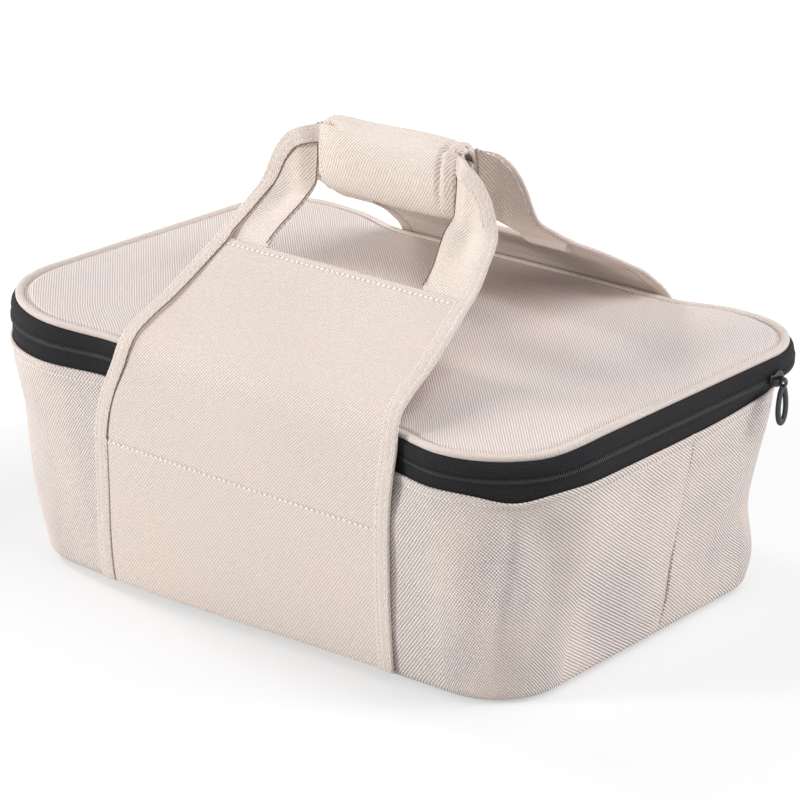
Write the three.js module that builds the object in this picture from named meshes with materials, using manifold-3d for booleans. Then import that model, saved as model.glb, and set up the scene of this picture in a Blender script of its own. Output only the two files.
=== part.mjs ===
import * as THREE from "three";
import Module from "manifold-3d";

// Driving dimensions, in millimetres. Z is up, X runs along the long side, the front faces -Y.
const RIM_LENGTH = 400;
const RIM_WIDTH = 275;
const BASE_LENGTH = 360;
const BASE_WIDTH = 246;
const WALL_TOP = 120;
const WALL_BULGE = 0.8;
const SIDE_RADIUS = 3200;
const FRONT_CORNER = 66;
const REAR_CORNER = 50;
const BASE_CORNER_SHARE = 0.62;
const REAR_INSET = 10;
const CLOTH = 1.6;
const FOAM = 4.5;
const LINING = 1.0;
const BOARD = 3.0;
const BASE_FOAM = 6.0;
const TAPE = 1.0;
const TAPE_LAP = 8.0;
const CHAIN_RISE = 10.5;
const CHAIN_GAP = 1.2;
const COIL_WIDTH = 2.6;
const COIL_DEPTH = 1.5;
const BAND_HEIGHT = 19.5;
const WELT_WIDTH = 5.5;
const WELT_HEIGHT = 4.6;
const LID_CROWN = 3.0;
const LID_FOAM = 3.5;
const STITCH_HEIGHT = 88;
const RIM_DRAW = 8;
const SLING_HALF_BASE = 102;
const HEM_WIDTH = 9.5;
const HEM_THICK = 2.8;
const HOLE_HALF = 55;
const HOLE_HEIGHT = 182.5;
const HOLE_FORWARD = 50;
const GRIP_HEIGHT = 228;
const GRIP_LENGTH = 97;
const WRAP_HALF_DEPTH = 15;
const WRAP_HALF_HEIGHT = 21;
const WRAP_THICK = 4.4;
const BAR_HALF_DEPTH = 4.4;
const BAR_HALF_HEIGHT = 13;
const CORD_HALF_DEPTH = 2.6;
const CORD_HALF_HEIGHT = 9;
const SLIDER_SETBACK = 8.5;
const SLIDER_LENGTH = 13;
const SLIDER_HEIGHT = 9;
const PULL_LENGTH = 24;
const PULL_WIDTH = 10.5;
const PULL_THICK = 2.2;
const GAP = 0.3;

// Sizes that follow from the driving dimensions.
const chainZ = WALL_TOP + CHAIN_RISE;
const bandTop = WALL_TOP + BAND_HEIGHT;
const lidTop = bandTop + GAP + WELT_HEIGHT;
const floorFoam = CLOTH + BOARD + 2 * GAP;
const floorLining = floorFoam + BASE_FOAM + GAP;
const rimHalf = RIM_WIDTH / 2;
const barY = WRAP_HALF_DEPTH - WRAP_THICK - GAP - BAR_HALF_DEPTH;
const gripLow = GRIP_HEIGHT - WRAP_HALF_HEIGHT;
const armY = WRAP_HALF_DEPTH - CLOTH;
const sliderY = rimHalf - REAR_CORNER - SLIDER_SETBACK;
const slingHalfStitch = SLING_HALF_BASE * 1.03;
const slingHalfRim = SLING_HALF_BASE * 0.966;
const slingHalfHole = SLING_HALF_BASE * 0.882;

// Half sizes and corner radii of the outer skin at a height.
function level(z) {
  const k = Math.min(Math.max(z / WALL_TOP, 0), 1);
  const swell = 4 * WALL_BULGE * k * (1 - k);
  const share = BASE_CORNER_SHARE + (1 - BASE_CORNER_SHARE) * k;
  return {
    a: (BASE_LENGTH + (RIM_LENGTH - BASE_LENGTH) * k) / 2 + swell,
    b: (BASE_WIDTH + (RIM_WIDTH - BASE_WIDTH) * k) / 2 + swell,
    back: (BASE_WIDTH + (RIM_WIDTH - BASE_WIDTH) * k) / 2 - REAR_INSET * (1 - k) + swell,
    front: FRONT_CORNER * share,
    rear: REAR_CORNER * share,
  };
}

// Stations round the outline, counted anticlockwise from the middle of the right end.
const END_STEPS = 1;
const CORNER_STEPS = 6;
const SIDE_STEPS = 3;
const QUARTER = END_STEPS + CORNER_STEPS + SIDE_STEPS;
const LOOP = 4 * QUARTER;
const REAR_MIDDLE = QUARTER;
const LEFT_MIDDLE = 2 * QUARTER;
const ZIP_END = END_STEPS + CORNER_STEPS / 2;

// One quarter of the outline: straight end, corner arc and bowed long side, moved outwards by u.
function quarter(a, b, r, u) {
  const cx = a - r;
  const cy = b - SIDE_RADIUS + Math.sqrt((SIDE_RADIUS - r) ** 2 - (a - r) ** 2);
  const tilt = Math.asin((a - r) / (SIDE_RADIUS - r));
  const points = [];
  for (let i = 0; i < END_STEPS; i++) points.push([a + u, (cy * i) / END_STEPS]);
  for (let i = 0; i < CORNER_STEPS; i++) {
    const angle = ((Math.PI / 2 - tilt) * i) / CORNER_STEPS;
    points.push([cx + (r + u) * Math.cos(angle), cy + (r + u) * Math.sin(angle)]);
  }
  for (let i = 0; i <= SIDE_STEPS; i++) {
    const angle = tilt * (1 - i / SIDE_STEPS);
    const radius = SIDE_RADIUS + u;
    points.push([radius * Math.sin(angle), b - SIDE_RADIUS + radius * Math.cos(angle)]);
  }
  return points;
}

// How far the slings draw the long sides in: fully under the sling from the zip up, not at all by the corners.
const ease = (value, low, high) => THREE.MathUtils.smoothstep(value, low, high);
const drawIn = (x, z) => RIM_DRAW * ease(z, WALL_TOP * 0.75, WALL_TOP + 2)
  * (1 - ease(Math.abs(x), RIM_LENGTH * 0.2375, RIM_LENGTH * 0.35));

function outline(z, u) {
  const { a, b, back, front, rear } = level(z);
  const aft = quarter(a, back, rear, u);
  const fore = quarter(a, b, front, u);
  const loop = aft.slice(0, QUARTER);
  for (let i = QUARTER; i > 0; i--) loop.push([-aft[i][0], aft[i][1]]);
  for (let i = 0; i < QUARTER; i++) loop.push([-fore[i][0], -fore[i][1]]);
  for (let i = QUARTER; i > 0; i--) loop.push([fore[i][0], -fore[i][1]]);
  return loop.map(([x, y]) => [x, y - Math.sign(y) * drawIn(x, z)]);
}

function station(loop, t) {
  const i = Math.floor(t);
  const f = t - i;
  const p = loop[((i % LOOP) + LOOP) % LOOP];
  const q = loop[(((i + 1) % LOOP) + LOOP) % LOOP];
  return [p[0] + (q[0] - p[0]) * f, p[1] + (q[1] - p[1]) * f];
}

// A closed body from its corners and triangles, turned so that its faces look outwards.
function body(points, faces) {
  let volume = 0;
  for (const [i, j, k] of faces) {
    const [a, b, c] = [points[i], points[j], points[k]];
    volume += a[0] * (b[1] * c[2] - b[2] * c[1]) - a[1] * (b[0] * c[2] - b[2] * c[0])
      + a[2] * (b[0] * c[1] - b[1] * c[0]);
  }
  const geometry = new THREE.BufferGeometry();
  geometry.setAttribute("position", new THREE.Float32BufferAttribute(points.flat(), 3));
  geometry.setIndex(faces.flatMap(([i, j, k]) => (volume < 0 ? [i, k, j] : [i, j, k])));
  geometry.computeVertexNormals();
  return geometry;
}

// A section of [offset, height] corners swept round the outline, all the way or between two stations.
function ring(section, start = 0, end = LOOP) {
  const whole = end - start >= LOOP;
  const stops = [start];
  for (let i = Math.floor(start) + 1; i < end; i++) stops.push(i);
  if (!whole) stops.push(end);
  const loops = section.map(([u, z]) => outline(z, u));
  const m = section.length;
  const points = [];
  for (const t of stops) {
    section.forEach(([, z], j) => points.push([...station(loops[j], t), z]));
  }
  const faces = [];
  const n = stops.length;
  for (let i = 0; i < (whole ? n : n - 1); i++) {
    for (let j = 0; j < m; j++) {
      const a = i * m + j;
      const b = i * m + ((j + 1) % m);
      const c = ((i + 1) % n) * m + ((j + 1) % m);
      const d = ((i + 1) % n) * m + j;
      if (section[j][1] <= section[(j + 1) % m][1]) faces.push([a, b, c], [a, c, d]);
      else faces.push([a, b, d], [b, c, d]);
    }
  }
  if (!whole) {
    for (const [stop, first] of [[start, 0], [end, (n - 1) * m]]) {
      const [inner, outer] = [station(outline(WALL_TOP, 0), stop), station(outline(WALL_TOP, 1), stop)];
      const flat = section.map(([, z], j) => {
        const [x, y] = points[first + j];
        return new THREE.Vector2(x * (outer[0] - inner[0]) + y * (outer[1] - inner[1]), z);
      });
      for (const [i, j, k] of THREE.ShapeUtils.triangulateShape(flat, [])) {
        faces.push(first ? [first + i, first + j, first + k] : [i, k, j]);
      }
    }
  }
  return body(points, faces);
}

// A plate whose rows are outlines scaled by a share,
// from the middle of the underside to the middle of the top.
function plate(rows) {
  const points = [];
  const starts = [];
  for (const { share, u = 0, z, at = z } of rows) {
    starts.push(points.length);
    if (share === 0) points.push([0, 0, z]);
    else for (const [x, y] of outline(at, u)) points.push([x * share, y * share, z]);
  }
  const faces = [];
  for (let r = 0; r + 1 < rows.length; r++) {
    const lower = rows[r].share === 0;
    const upper = rows[r + 1].share === 0;
    for (let i = 0; i < LOOP; i++) {
      const j = (i + 1) % LOOP;
      const a = starts[r] + (lower ? 0 : i);
      const b = starts[r] + (lower ? 0 : j);
      const c = starts[r + 1] + (upper ? 0 : j);
      const d = starts[r + 1] + (upper ? 0 : i);
      if (!lower) faces.push([a, b, c]);
      if (!upper) faces.push([a, c, d]);
    }
  }
  return body(points, faces);
}

// A solid sheet between two grids of points of the same size.
function sheet(inner, outer) {
  const rows = inner.length;
  const cols = inner[0].length;
  const points = [...inner.flat(), ...outer.flat()];
  const top = rows * cols;
  const faces = [];
  for (let i = 0; i + 1 < rows; i++) {
    for (let j = 0; j + 1 < cols; j++) {
      const a = i * cols + j;
      const [b, c, d] = [a + 1, a + cols + 1, a + cols];
      faces.push([a, b, c], [a, c, d], [top + a, top + c, top + b], [top + a, top + d, top + c]);
    }
  }
  const side = (a, b) => faces.push([a, top + a, top + b], [a, top + b, b]);
  for (let j = 0; j + 1 < cols; j++) {
    side(j, j + 1);
    side((rows - 1) * cols + j + 1, (rows - 1) * cols + j);
  }
  for (let i = 0; i + 1 < rows; i++) {
    side((i + 1) * cols, i * cols);
    side(i * cols + cols - 1, (i + 1) * cols + cols - 1);
  }
  return body(points, faces);
}

// How far the bowed long side falls back at a distance from its middle.
const fallBack = (x) => SIDE_RADIUS - Math.sqrt(SIDE_RADIUS ** 2 - x ** 2);

// The sling's inner face in side view, from the stitch line to the top of the arms, as evenly spaced [y, z].
const wallFace = (z) => -(level(z).b + GAP - drawIn(0, z));
const shoulder = [-(rimHalf - 23), lidTop + 8];
const upFrom = (k) => [
  shoulder[0] + (-HOLE_FORWARD - shoulder[0]) * k, shoulder[1] + (HOLE_HEIGHT - shoulder[1]) * k - 1.2,
];
const slingPath = new THREE.CatmullRomCurve3([
  [wallFace(STITCH_HEIGHT), STITCH_HEIGHT + GAP / 2],
  [wallFace(WALL_TOP * 0.87) - 2.6, WALL_TOP * 0.87],
  [wallFace(WALL_TOP) - 4, WALL_TOP],
  [wallFace(chainZ) - 2.4, chainZ],
  [wallFace(bandTop), bandTop + 0.5],
  [wallFace(lidTop) + 5.6, lidTop + 2.8],
  shoulder,
  upFrom(0.3),
  upFrom(0.62),
  [-HOLE_FORWARD, HOLE_HEIGHT],
  [-(armY + (HOLE_FORWARD - armY) * 0.45), HOLE_HEIGHT + (gripLow - HOLE_HEIGHT) * 0.58],
  [-armY - 1, gripLow + 4],
  [-armY, GRIP_HEIGHT + WRAP_HALF_HEIGHT * 0.3],
  [-armY + 1.6, GRIP_HEIGHT + WRAP_HALF_HEIGHT * 0.93],
].map(([y, z]) => new THREE.Vector3(0, y, z)), false, "centripetal");
const PATH_STEPS = 240;
const path = slingPath.getSpacedPoints(PATH_STEPS).map((p) => [p.y, p.z]);
const nearest = (y, z) => path.reduce((best, p, i) => (
  Math.hypot(p[0] - y, p[1] - z) < Math.hypot(path[best][0] - y, path[best][1] - z) ? i : best), 0);
const holeStop = nearest(-HOLE_FORWARD, HOLE_HEIGHT) / PATH_STEPS;
const rimStop = nearest(wallFace(bandTop), bandTop + 0.5) / PATH_STEPS;

function along(t) {
  const i = Math.min(Math.floor(t * PATH_STEPS), PATH_STEPS - 1);
  const f = t * PATH_STEPS - i;
  const [p, q] = [path[i], path[i + 1]];
  const run = Math.hypot(q[0] - p[0], q[1] - p[1]);
  return {
    y: p[0] + (q[0] - p[0]) * f,
    z: p[1] + (q[1] - p[1]) * f,
    ny: -(q[1] - p[1]) / run,
    nz: (q[0] - p[0]) / run,
  };
}

// Half width of the sling, its hem included, and of the hand hole, at a share of the path.
function slingHalf(t) {
  const [from, rim, top] = [slingHalfStitch, slingHalfRim, slingHalfHole];
  if (t < rimStop) return from + ((rim - from) * t) / rimStop;
  if (t < holeStop) return rim + ((top - rim) * (t - rimStop)) / (holeStop - rimStop);
  const k = (t - holeStop) / (1 - holeStop);
  return top * (1 - 0.144 * k - 0.158 * k ** 8);
}
const gripHalf = GRIP_LENGTH / 2 + GAP;
const holeHalf = (t) => HOLE_HALF + (gripHalf - HOLE_HALF) * Math.min((t - holeStop) / (1 - holeStop) / 0.55, 1);

// A strip of the free sling between two shares of the path and two edges;
// side is -1 at the front, 1 at the rear.
function slingStrip(from, to, steps, left, right, cols, thick, side) {
  const grid = (depth) => {
    const rows = [];
    for (let i = 0; i <= steps; i++) {
      const t = from + ((to - from) * i) / steps;
      const { y, z, ny, nz } = along(t);
      const hold = Math.max(1 - t / rimStop, 0);
      const row = [];
      for (let j = 0; j <= cols; j++) {
        const x = left(t) + ((right(t) - left(t)) * j) / cols;
        const inset = side < 0 ? 0 : level(z).b - level(z).back;
        row.push([x, -side * (y + ny * depth + fallBack(x) * hold + inset), z + nz * depth]);
      }
      rows.push(row);
    }
    return rows;
  };
  return sheet(grid(0), grid(thick));
}

// A strip of the sling's sewn lower half, lying on the wall between two heights.
function sewnStrip(left, right, cols, thick, side) {
  const low = CLOTH + 3;
  const high = STITCH_HEIGHT - GAP / 2;
  const steps = 5;
  const grid = (depth) => {
    const rows = [];
    for (let i = 0; i <= steps; i++) {
      const z = low + ((high - low) * i) / steps;
      const half = SLING_HALF_BASE + ((slingHalfStitch - SLING_HALF_BASE) * (z - low)) / (high - low);
      const row = [];
      for (let j = 0; j <= cols; j++) {
        const x = left(half) + ((right(half) - left(half)) * j) / cols;
        const face = side < 0 ? level(z).b : level(z).back;
        row.push([x, side * (face + GAP + depth - fallBack(x)), z]);
      }
      rows.push(row);
    }
    return rows;
  };
  return sheet(grid(0), grid(thick));
}

// A shell of the hand wrap between two turns, counted in degrees from the front over the top;
// its section is a tall soft oval, and the shell lies between two depths under the surface.
function wrapShell(from, to, steps, inner, outer) {
  const half = GRIP_LENGTH / 2;
  const stations = [-1, -0.9, -0.5, 0, 0.5, 0.9, 1];
  const bend = (value) => Math.sign(value) * Math.abs(value) ** 0.78;
  const grid = (depth) => stations.map((s) => {
    const row = [];
    for (let i = 0; i <= steps; i++) {
      const turn = THREE.MathUtils.degToRad(from + ((to - from) * i) / steps);
      const d = depth + (depth === 0 ? 1.2 * Math.abs(s) ** 6 : 0);
      row.push([
        s * half, -(WRAP_HALF_DEPTH - d) * bend(Math.cos(turn)),
        GRIP_HEIGHT + (WRAP_HALF_HEIGHT - d) * bend(Math.sin(turn)),
      ]);
    }
    return row;
  });
  return sheet(grid(inner), grid(outer));
}

// A flat oval bar along X through a point, solid or with a bore.
function bar(y, [depth, height], [boreDepth, boreHeight], half) {
  const turns = [...Array(20).keys()].map((i) => (i * Math.PI) / 10);
  const points = [];
  const rings = boreDepth > 0
    ? [[boreDepth, boreHeight, -half], [depth, height, -half], [depth, height, half], [boreDepth, boreHeight, half]]
    : [[depth, height, -half], [depth, height, half]];
  for (const [d, h, x] of rings) {
    for (const t of turns) points.push([x, y + d * Math.cos(t), GRIP_HEIGHT + h * Math.sin(t)]);
  }
  const faces = [];
  const n = turns.length;
  const between = boreDepth > 0 ? 4 : 1;
  for (let r = 0; r < between; r++) {
    for (let i = 0; i < n; i++) {
      const j = (i + 1) % n;
      const next = ((r + 1) % rings.length) * n;
      faces.push([r * n + i, r * n + j, next + j], [r * n + i, next + j, next + i]);
    }
  }
  if (boreDepth === 0) {
    for (let i = 1; i + 1 < n; i++) faces.push([0, i + 1, i], [n, n + i, n + i + 1]);
  }
  return body(points, faces);
}

const wasm = await Module();
wasm.setup();
const { Manifold, Mesh } = wasm;

function toManifold(geometry) {
  const seen = new Map();
  const places = [];
  const position = geometry.getAttribute("position");
  const source = geometry.index ? Array.from(geometry.index.array) : [...Array(position.count).keys()];
  const corners = source.map((i) => {
    const p = [position.getX(i), position.getY(i), position.getZ(i)];
    const key = p.map((v) => Math.round(v * 1e4)).join(" ");
    if (!seen.has(key)) {
      seen.set(key, places.length / 3);
      places.push(...p);
    }
    return seen.get(key);
  });
  const kept = [];
  for (let i = 0; i < corners.length; i += 3) {
    const [a, b, c] = corners.slice(i, i + 3);
    if (a !== b && b !== c && c !== a) kept.push(a, b, c);
  }
  return new Manifold(new Mesh({
    numProp: 3,
    vertProperties: new Float32Array(places),
    triVerts: new Uint32Array(kept),
  }));
}

function fromManifold(solid) {
  const mesh = solid.getMesh();
  const geometry = new THREE.BufferGeometry();
  const places = Array.from(mesh.vertProperties);
  geometry.setAttribute("position", new THREE.Float32BufferAttribute(places, mesh.numProp));
  geometry.setIndex(Array.from(mesh.triVerts));
  geometry.computeVertexNormals();
  return geometry;
}

const joined = (...pieces) => fromManifold(pieces.map(toManifold).reduce((whole, piece) => whole.add(piece)));

// The slider: two rounded plates either side of the tapes,
// a thin post between the coils and a bridge outside.
function sliderGeometry() {
  const shape = new THREE.Shape();
  const [l, h] = [SLIDER_LENGTH / 2, SLIDER_HEIGHT / 2];
  shape.moveTo(-l, -h * 0.62);
  shape.quadraticCurveTo(-l, -h * 0.8, -l * 0.6, -h * 0.82);
  shape.lineTo(l * 0.5, -h);
  shape.quadraticCurveTo(l, -h, l, -h * 0.5);
  shape.lineTo(l, h * 0.5);
  shape.quadraticCurveTo(l, h, l * 0.5, h);
  shape.lineTo(-l * 0.6, h * 0.82);
  shape.quadraticCurveTo(-l, h * 0.8, -l, h * 0.62);
  shape.closePath();
  const plateAt = (depth) => {
    const geometry = new THREE.ExtrudeGeometry(shape, { depth: 1.4, bevelEnabled: false, curveSegments: 4 });
    geometry.applyMatrix4(new THREE.Matrix4().set(0, 0, 1, depth, 1, 0, 0, 0, 0, 1, 0, 0, 0, 0, 0, 1));
    return geometry;
  };
  const face = COIL_DEPTH - CLOTH - GAP;
  const inside = -CLOTH - 2 * GAP - TAPE;
  const outer = plateAt(face + GAP);
  const inner = plateAt(inside - 1.4);
  const post = new THREE.BoxGeometry(face + GAP - inside + 1, 4, CHAIN_GAP - 2 * GAP);
  post.translate((face + GAP + inside) / 2, l - 3.5, 0);
  const arch = new THREE.Shape();
  arch.moveTo(-4.6, 0);
  arch.lineTo(-4.6, 3.4);
  arch.quadraticCurveTo(-4.6, 5, -3, 5);
  arch.lineTo(3, 5);
  arch.quadraticCurveTo(4.6, 5, 4.6, 3.4);
  arch.lineTo(4.6, 0);
  arch.lineTo(3.2, 0);
  arch.lineTo(3.2, 3.6);
  arch.lineTo(-3.2, 3.6);
  arch.lineTo(-3.2, 0);
  arch.closePath();
  const bridge = new THREE.ExtrudeGeometry(arch, { depth: 1.4, bevelEnabled: false, curveSegments: 3 });
  bridge.translate(0, 0, -0.7);
  bridge.applyMatrix4(new THREE.Matrix4().set(0, 1, 0, face + GAP + 1.2, 1, 0, 0, 0, 0, 0, 1, 0, 0, 0, 0, 1));
  const geometry = joined(outer, post, inner, orient(bridge));
  geometry.translate(RIM_LENGTH / 2, sliderY, chainZ);
  return geometry;
}

// Swapping two axes turns a body inside out, so its faces are turned back.
function orient(geometry) {
  const position = geometry.getAttribute("position");
  const source = geometry.index ? Array.from(geometry.index.array) : [...Array(position.count).keys()];
  const points = [];
  for (let i = 0; i < position.count; i++) {
    points.push([position.getX(i), position.getY(i), position.getZ(i)]);
  }
  const faces = [];
  for (let i = 0; i < source.length; i += 3) faces.push(source.slice(i, i + 3));
  return body(points, faces);
}

// Where the pull's eye turns: the middle of the slider's bridge.
const pullX = RIM_LENGTH / 2 + COIL_DEPTH - CLOTH + 1.2 + 4.3;

// The pull: an eye round the bridge joined to a flat oval tab that hangs down.
function pullGeometry() {
  const eye = new THREE.Shape();
  eye.absarc(0, 0, 2.5, 0, Math.PI * 2);
  const bore = new THREE.Path();
  bore.absarc(0, 0, 1.35, 0, Math.PI * 2, true);
  eye.holes.push(bore);
  const loop = new THREE.ExtrudeGeometry(eye, { depth: 2.4, bevelEnabled: false, curveSegments: 16 });
  loop.translate(0, 0, -1.2);
  loop.rotateX(Math.PI / 2);
  const tab = new THREE.Shape();
  const w = PULL_WIDTH / 2;
  const top = -1.8;
  const low = -PULL_LENGTH;
  tab.moveTo(-1.8, top);
  tab.lineTo(-1.8, top - 2);
  tab.bezierCurveTo(-w, top - 4, -w, top - 6, -w, top - 9);
  tab.lineTo(-w, low + w);
  tab.absarc(0, low + w, w, Math.PI, Math.PI * 2);
  tab.lineTo(w, top - 9);
  tab.bezierCurveTo(w, top - 6, w, top - 4, 1.8, top - 2);
  tab.lineTo(1.8, top);
  tab.closePath();
  const slab = new THREE.ExtrudeGeometry(tab, { depth: PULL_THICK, bevelEnabled: false, curveSegments: 10 });
  slab.translate(0, 0, -PULL_THICK / 2);
  slab.applyMatrix4(new THREE.Matrix4().set(0, 0, 1, 0, 1, 0, 0, 0, 0, 1, 0, 0, 0, 0, 0, 1));
  const geometry = joined(loop, slab);
  geometry.translate(pullX, sliderY, chainZ);
  return geometry;
}

const group = new THREE.Group();
const looks = {
  canvas: { color: 0xcabfa9, roughness: 0.92 },
  lining: { color: 0xb9bcbe, roughness: 0.45 },
  foam: { color: 0xe8e6e0, roughness: 0.95 },
  board: { color: 0x6d6a64, roughness: 0.7 },
  tape: { color: 0x23242a, roughness: 0.9 },
  coil: { color: 0x1c1d22, roughness: 0.55 },
  metal: { color: 0x1a1b1f, roughness: 0.4, metalness: 0.6 },
  pull: { color: 0x202126, roughness: 0.5 },
  cord: { color: 0xd9d2c2, roughness: 0.9 },
  strip: { color: 0xc4baa6, roughness: 0.95 },
};
function add(name, geometry, look) {
  const mesh = new THREE.Mesh(geometry, new THREE.MeshStandardMaterial({ metalness: 0, ...looks[look] }));
  mesh.name = name;
  group.add(mesh);
}

// Tub: outer walls with a turned-under foot, in two halves that meet at the end seams.
const tapeFoot = WALL_TOP - TAPE_LAP;
const wallRows = [0.2, 0.4, 0.6, 0.8].map((k) => tapeFoot * k);
const wallSection = [
  [-5.2, 0], [-1.6, 1.6], [0, 5.2], ...wallRows.map((z) => [0, z]), [0, tapeFoot], [0, WALL_TOP],
  [-CLOTH, WALL_TOP], [-CLOTH, tapeFoot], ...wallRows.map((z) => [-CLOTH, z]).reverse(),
  [-CLOTH, 6.2], [-2.9, 3.2], [-5.6, CLOTH],
];
const seam = 0.008;
add("front_wall", ring(wallSection, LEFT_MIDDLE + seam, LOOP - seam), "canvas");
add("rear_wall", ring(wallSection, seam, LEFT_MIDDLE - seam), "canvas");

// Floor layers, from the outside in.
add("base_panel", plate([
  { share: 0, z: 0 }, { share: 1, u: -6, z: 0, at: 0 },
  { share: 1, u: -6, z: CLOTH, at: 0 }, { share: 0, z: CLOTH },
]), "canvas");
add("base_board", plate([
  { share: 0, z: CLOTH + GAP }, { share: 1, u: -6.4, z: CLOTH + GAP, at: 0 },
  { share: 1, u: -6.4, z: CLOTH + GAP + BOARD, at: 0 }, { share: 0, z: CLOTH + GAP + BOARD },
]), "board");
add("base_foam", plate([
  { share: 0, z: floorFoam }, { share: 1, u: -3.4, z: floorFoam, at: floorFoam },
  { share: 1, u: -3.4, z: floorFoam + BASE_FOAM, at: floorFoam }, { share: 0, z: floorFoam + BASE_FOAM },
]), "foam");
const foamIn = CLOTH + GAP + FOAM;
const liningIn = foamIn + GAP + LINING;
const tapeIn = CLOTH + GAP + TAPE;
add("base_lining", plate([
  { share: 0, z: floorLining }, { share: 1, u: -foamIn - GAP, z: floorLining },
  { share: 1, u: -foamIn - GAP, z: floorLining + LINING, at: floorLining },
  { share: 0, z: floorLining + LINING },
]), "lining");

// Wall layers.
const foamTop = WALL_TOP - 0.5;
add("wall_foam", ring([
  [-CLOTH - GAP, floorLining], ...wallRows.map((z) => [-CLOTH - GAP, z]), [-CLOTH - GAP, tapeFoot - GAP],
  [-tapeIn - GAP, tapeFoot - GAP], [-tapeIn - GAP, foamTop], [-foamIn, foamTop], [-foamIn, tapeFoot - GAP],
  ...wallRows.map((z) => [-foamIn, z]).reverse(), [-foamIn, floorLining],
]), "foam");
const liningLow = floorLining + LINING + GAP;
add("wall_lining", ring([
  [-foamIn - GAP, liningLow], ...wallRows.map((z) => [-foamIn - GAP, z]), [-foamIn - GAP, tapeFoot - GAP],
  [-foamIn - GAP, foamTop], [-liningIn, foamTop], [-liningIn, tapeFoot - GAP],
  ...wallRows.map((z) => [-liningIn, z]).reverse(), [-liningIn, liningLow],
]), "lining");
add("rim_binding", ring([
  [-tapeIn - GAP, foamTop + GAP], [-tapeIn - GAP, foamTop + 2.2],
  [-tapeIn - 1.6, foamTop + 3], [-liningIn + 1, foamTop + 3],
  [-liningIn - 0.4, foamTop + 2], [-liningIn - 0.4, foamTop + GAP],
]), "canvas");

// Lower half of the zip, its end stops and the hinge strip at the rear.
const tapeOut = CLOTH + GAP;
const coilFace = -tapeOut + GAP;
const lowerTop = chainZ - CHAIN_GAP / 2;
const upperLow = chainZ + CHAIN_GAP / 2;
const zipFrom = LOOP - LEFT_MIDDLE - ZIP_END;
const zipTo = LOOP + ZIP_END;
add("zip_tape_lower", ring([
  [-tapeOut, tapeFoot], [-tapeOut, WALL_TOP], [-tapeOut, lowerTop],
  [-tapeIn, lowerTop], [-tapeIn, WALL_TOP], [-tapeIn, tapeFoot],
], zipFrom, zipTo), "tape");
add("zip_coil_lower", ring([
  [coilFace, lowerTop - COIL_WIDTH], [coilFace + COIL_DEPTH * 0.7, lowerTop - COIL_WIDTH * 0.9],
  [coilFace + COIL_DEPTH, lowerTop - COIL_WIDTH * 0.5],
  [coilFace + COIL_DEPTH, lowerTop], [coilFace, lowerTop],
], zipFrom + 0.3, zipTo - 0.3), "coil");
const stopSection = [
  [coilFace, lowerTop - 3.4], [coilFace + 2, lowerTop - 3.4], [coilFace + 2, lowerTop], [coilFace, lowerTop],
];
add("zip_stop_left", ring(stopSection, zipFrom + 0.02, zipFrom + 0.28), "coil");
add("zip_stop_right", ring(stopSection, zipTo - 0.28, zipTo - 0.02), "coil");
add("hinge_strip", ring([
  [-tapeOut, tapeFoot], [-tapeOut, WALL_TOP], [-tapeOut, chainZ],
  [-tapeIn, chainZ], [-tapeIn, WALL_TOP], [-tapeIn, tapeFoot],
], ZIP_END + 0.05, zipFrom - 0.05), "canvas");

// Lid: welt round the edge, padded panel inside it, foam and lining below, and its half of the zip.
const weltOut = -tapeOut - 0.4;
const weltIn = weltOut - WELT_WIDTH;
const weltLow = bandTop + GAP;
add("lid_welt", ring([
  [weltOut - 0.6, weltLow], [weltOut, weltLow + WELT_HEIGHT * 0.4],
  [weltOut - 1.4, weltLow + WELT_HEIGHT * 0.82],
  [weltOut - WELT_WIDTH * 0.45, lidTop],
  [weltIn + 1.2, weltLow + WELT_HEIGHT * 0.8], [weltIn, weltLow + WELT_HEIGHT * 0.4],
  [weltIn + 0.3, weltLow],
]), "canvas");
const panelLow = weltLow + GAP;
add("lid_panel", plate([
  { share: 0, z: panelLow }, { share: 1, u: weltIn - GAP, z: panelLow },
  { share: 1, u: weltIn - GAP, z: panelLow + 2.2 },
  { share: 1, u: weltIn - 6, z: panelLow + 3.8 },
  { share: 0.6, u: weltIn - 6, z: panelLow + 3.4 + LID_CROWN * 0.8 },
  { share: 0, z: panelLow + 3.4 + LID_CROWN },
]), "canvas");
const lidFoamLow = bandTop - LID_FOAM;
const lidFoamIn = -tapeIn - 5;
add("lid_foam", plate([
  { share: 0, z: lidFoamLow }, { share: 1, u: lidFoamIn, z: lidFoamLow },
  { share: 1, u: lidFoamIn, z: bandTop },
  { share: 0, z: bandTop },
]), "foam");
add("lid_lining", plate([
  { share: 0, z: lidFoamLow - GAP - LINING }, { share: 1, u: lidFoamIn, z: lidFoamLow - GAP - LINING },
  { share: 1, u: lidFoamIn, z: lidFoamLow - GAP }, { share: 0, z: lidFoamLow - GAP },
]), "lining");
const lean = 2.2;
add("zip_tape_upper", ring([
  [-tapeOut, upperLow], [-tapeOut, upperLow + 5], [-tapeOut - lean, bandTop], [-tapeIn - lean, bandTop],
  [-tapeIn, upperLow + 5], [-tapeIn, upperLow],
], zipFrom, zipTo), "tape");
add("zip_coil_upper", ring([
  [coilFace, upperLow], [coilFace + COIL_DEPTH, upperLow],
  [coilFace + COIL_DEPTH, upperLow + COIL_WIDTH * 0.5],
  [coilFace + COIL_DEPTH * 0.7, upperLow + COIL_WIDTH * 0.9], [coilFace, upperLow + COIL_WIDTH],
], zipFrom + 0.3, zipTo - 0.3), "coil");
add("lid_rear_edge", ring([
  [-tapeOut, chainZ + GAP], [-tapeOut - lean, bandTop], [-tapeIn - lean, bandTop], [-tapeIn, chainZ + GAP],
], ZIP_END + 0.05, zipFrom - 0.05), "canvas");
add("zip_slider", sliderGeometry(), "metal");
add("zip_pull", pullGeometry(), "pull");

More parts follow.
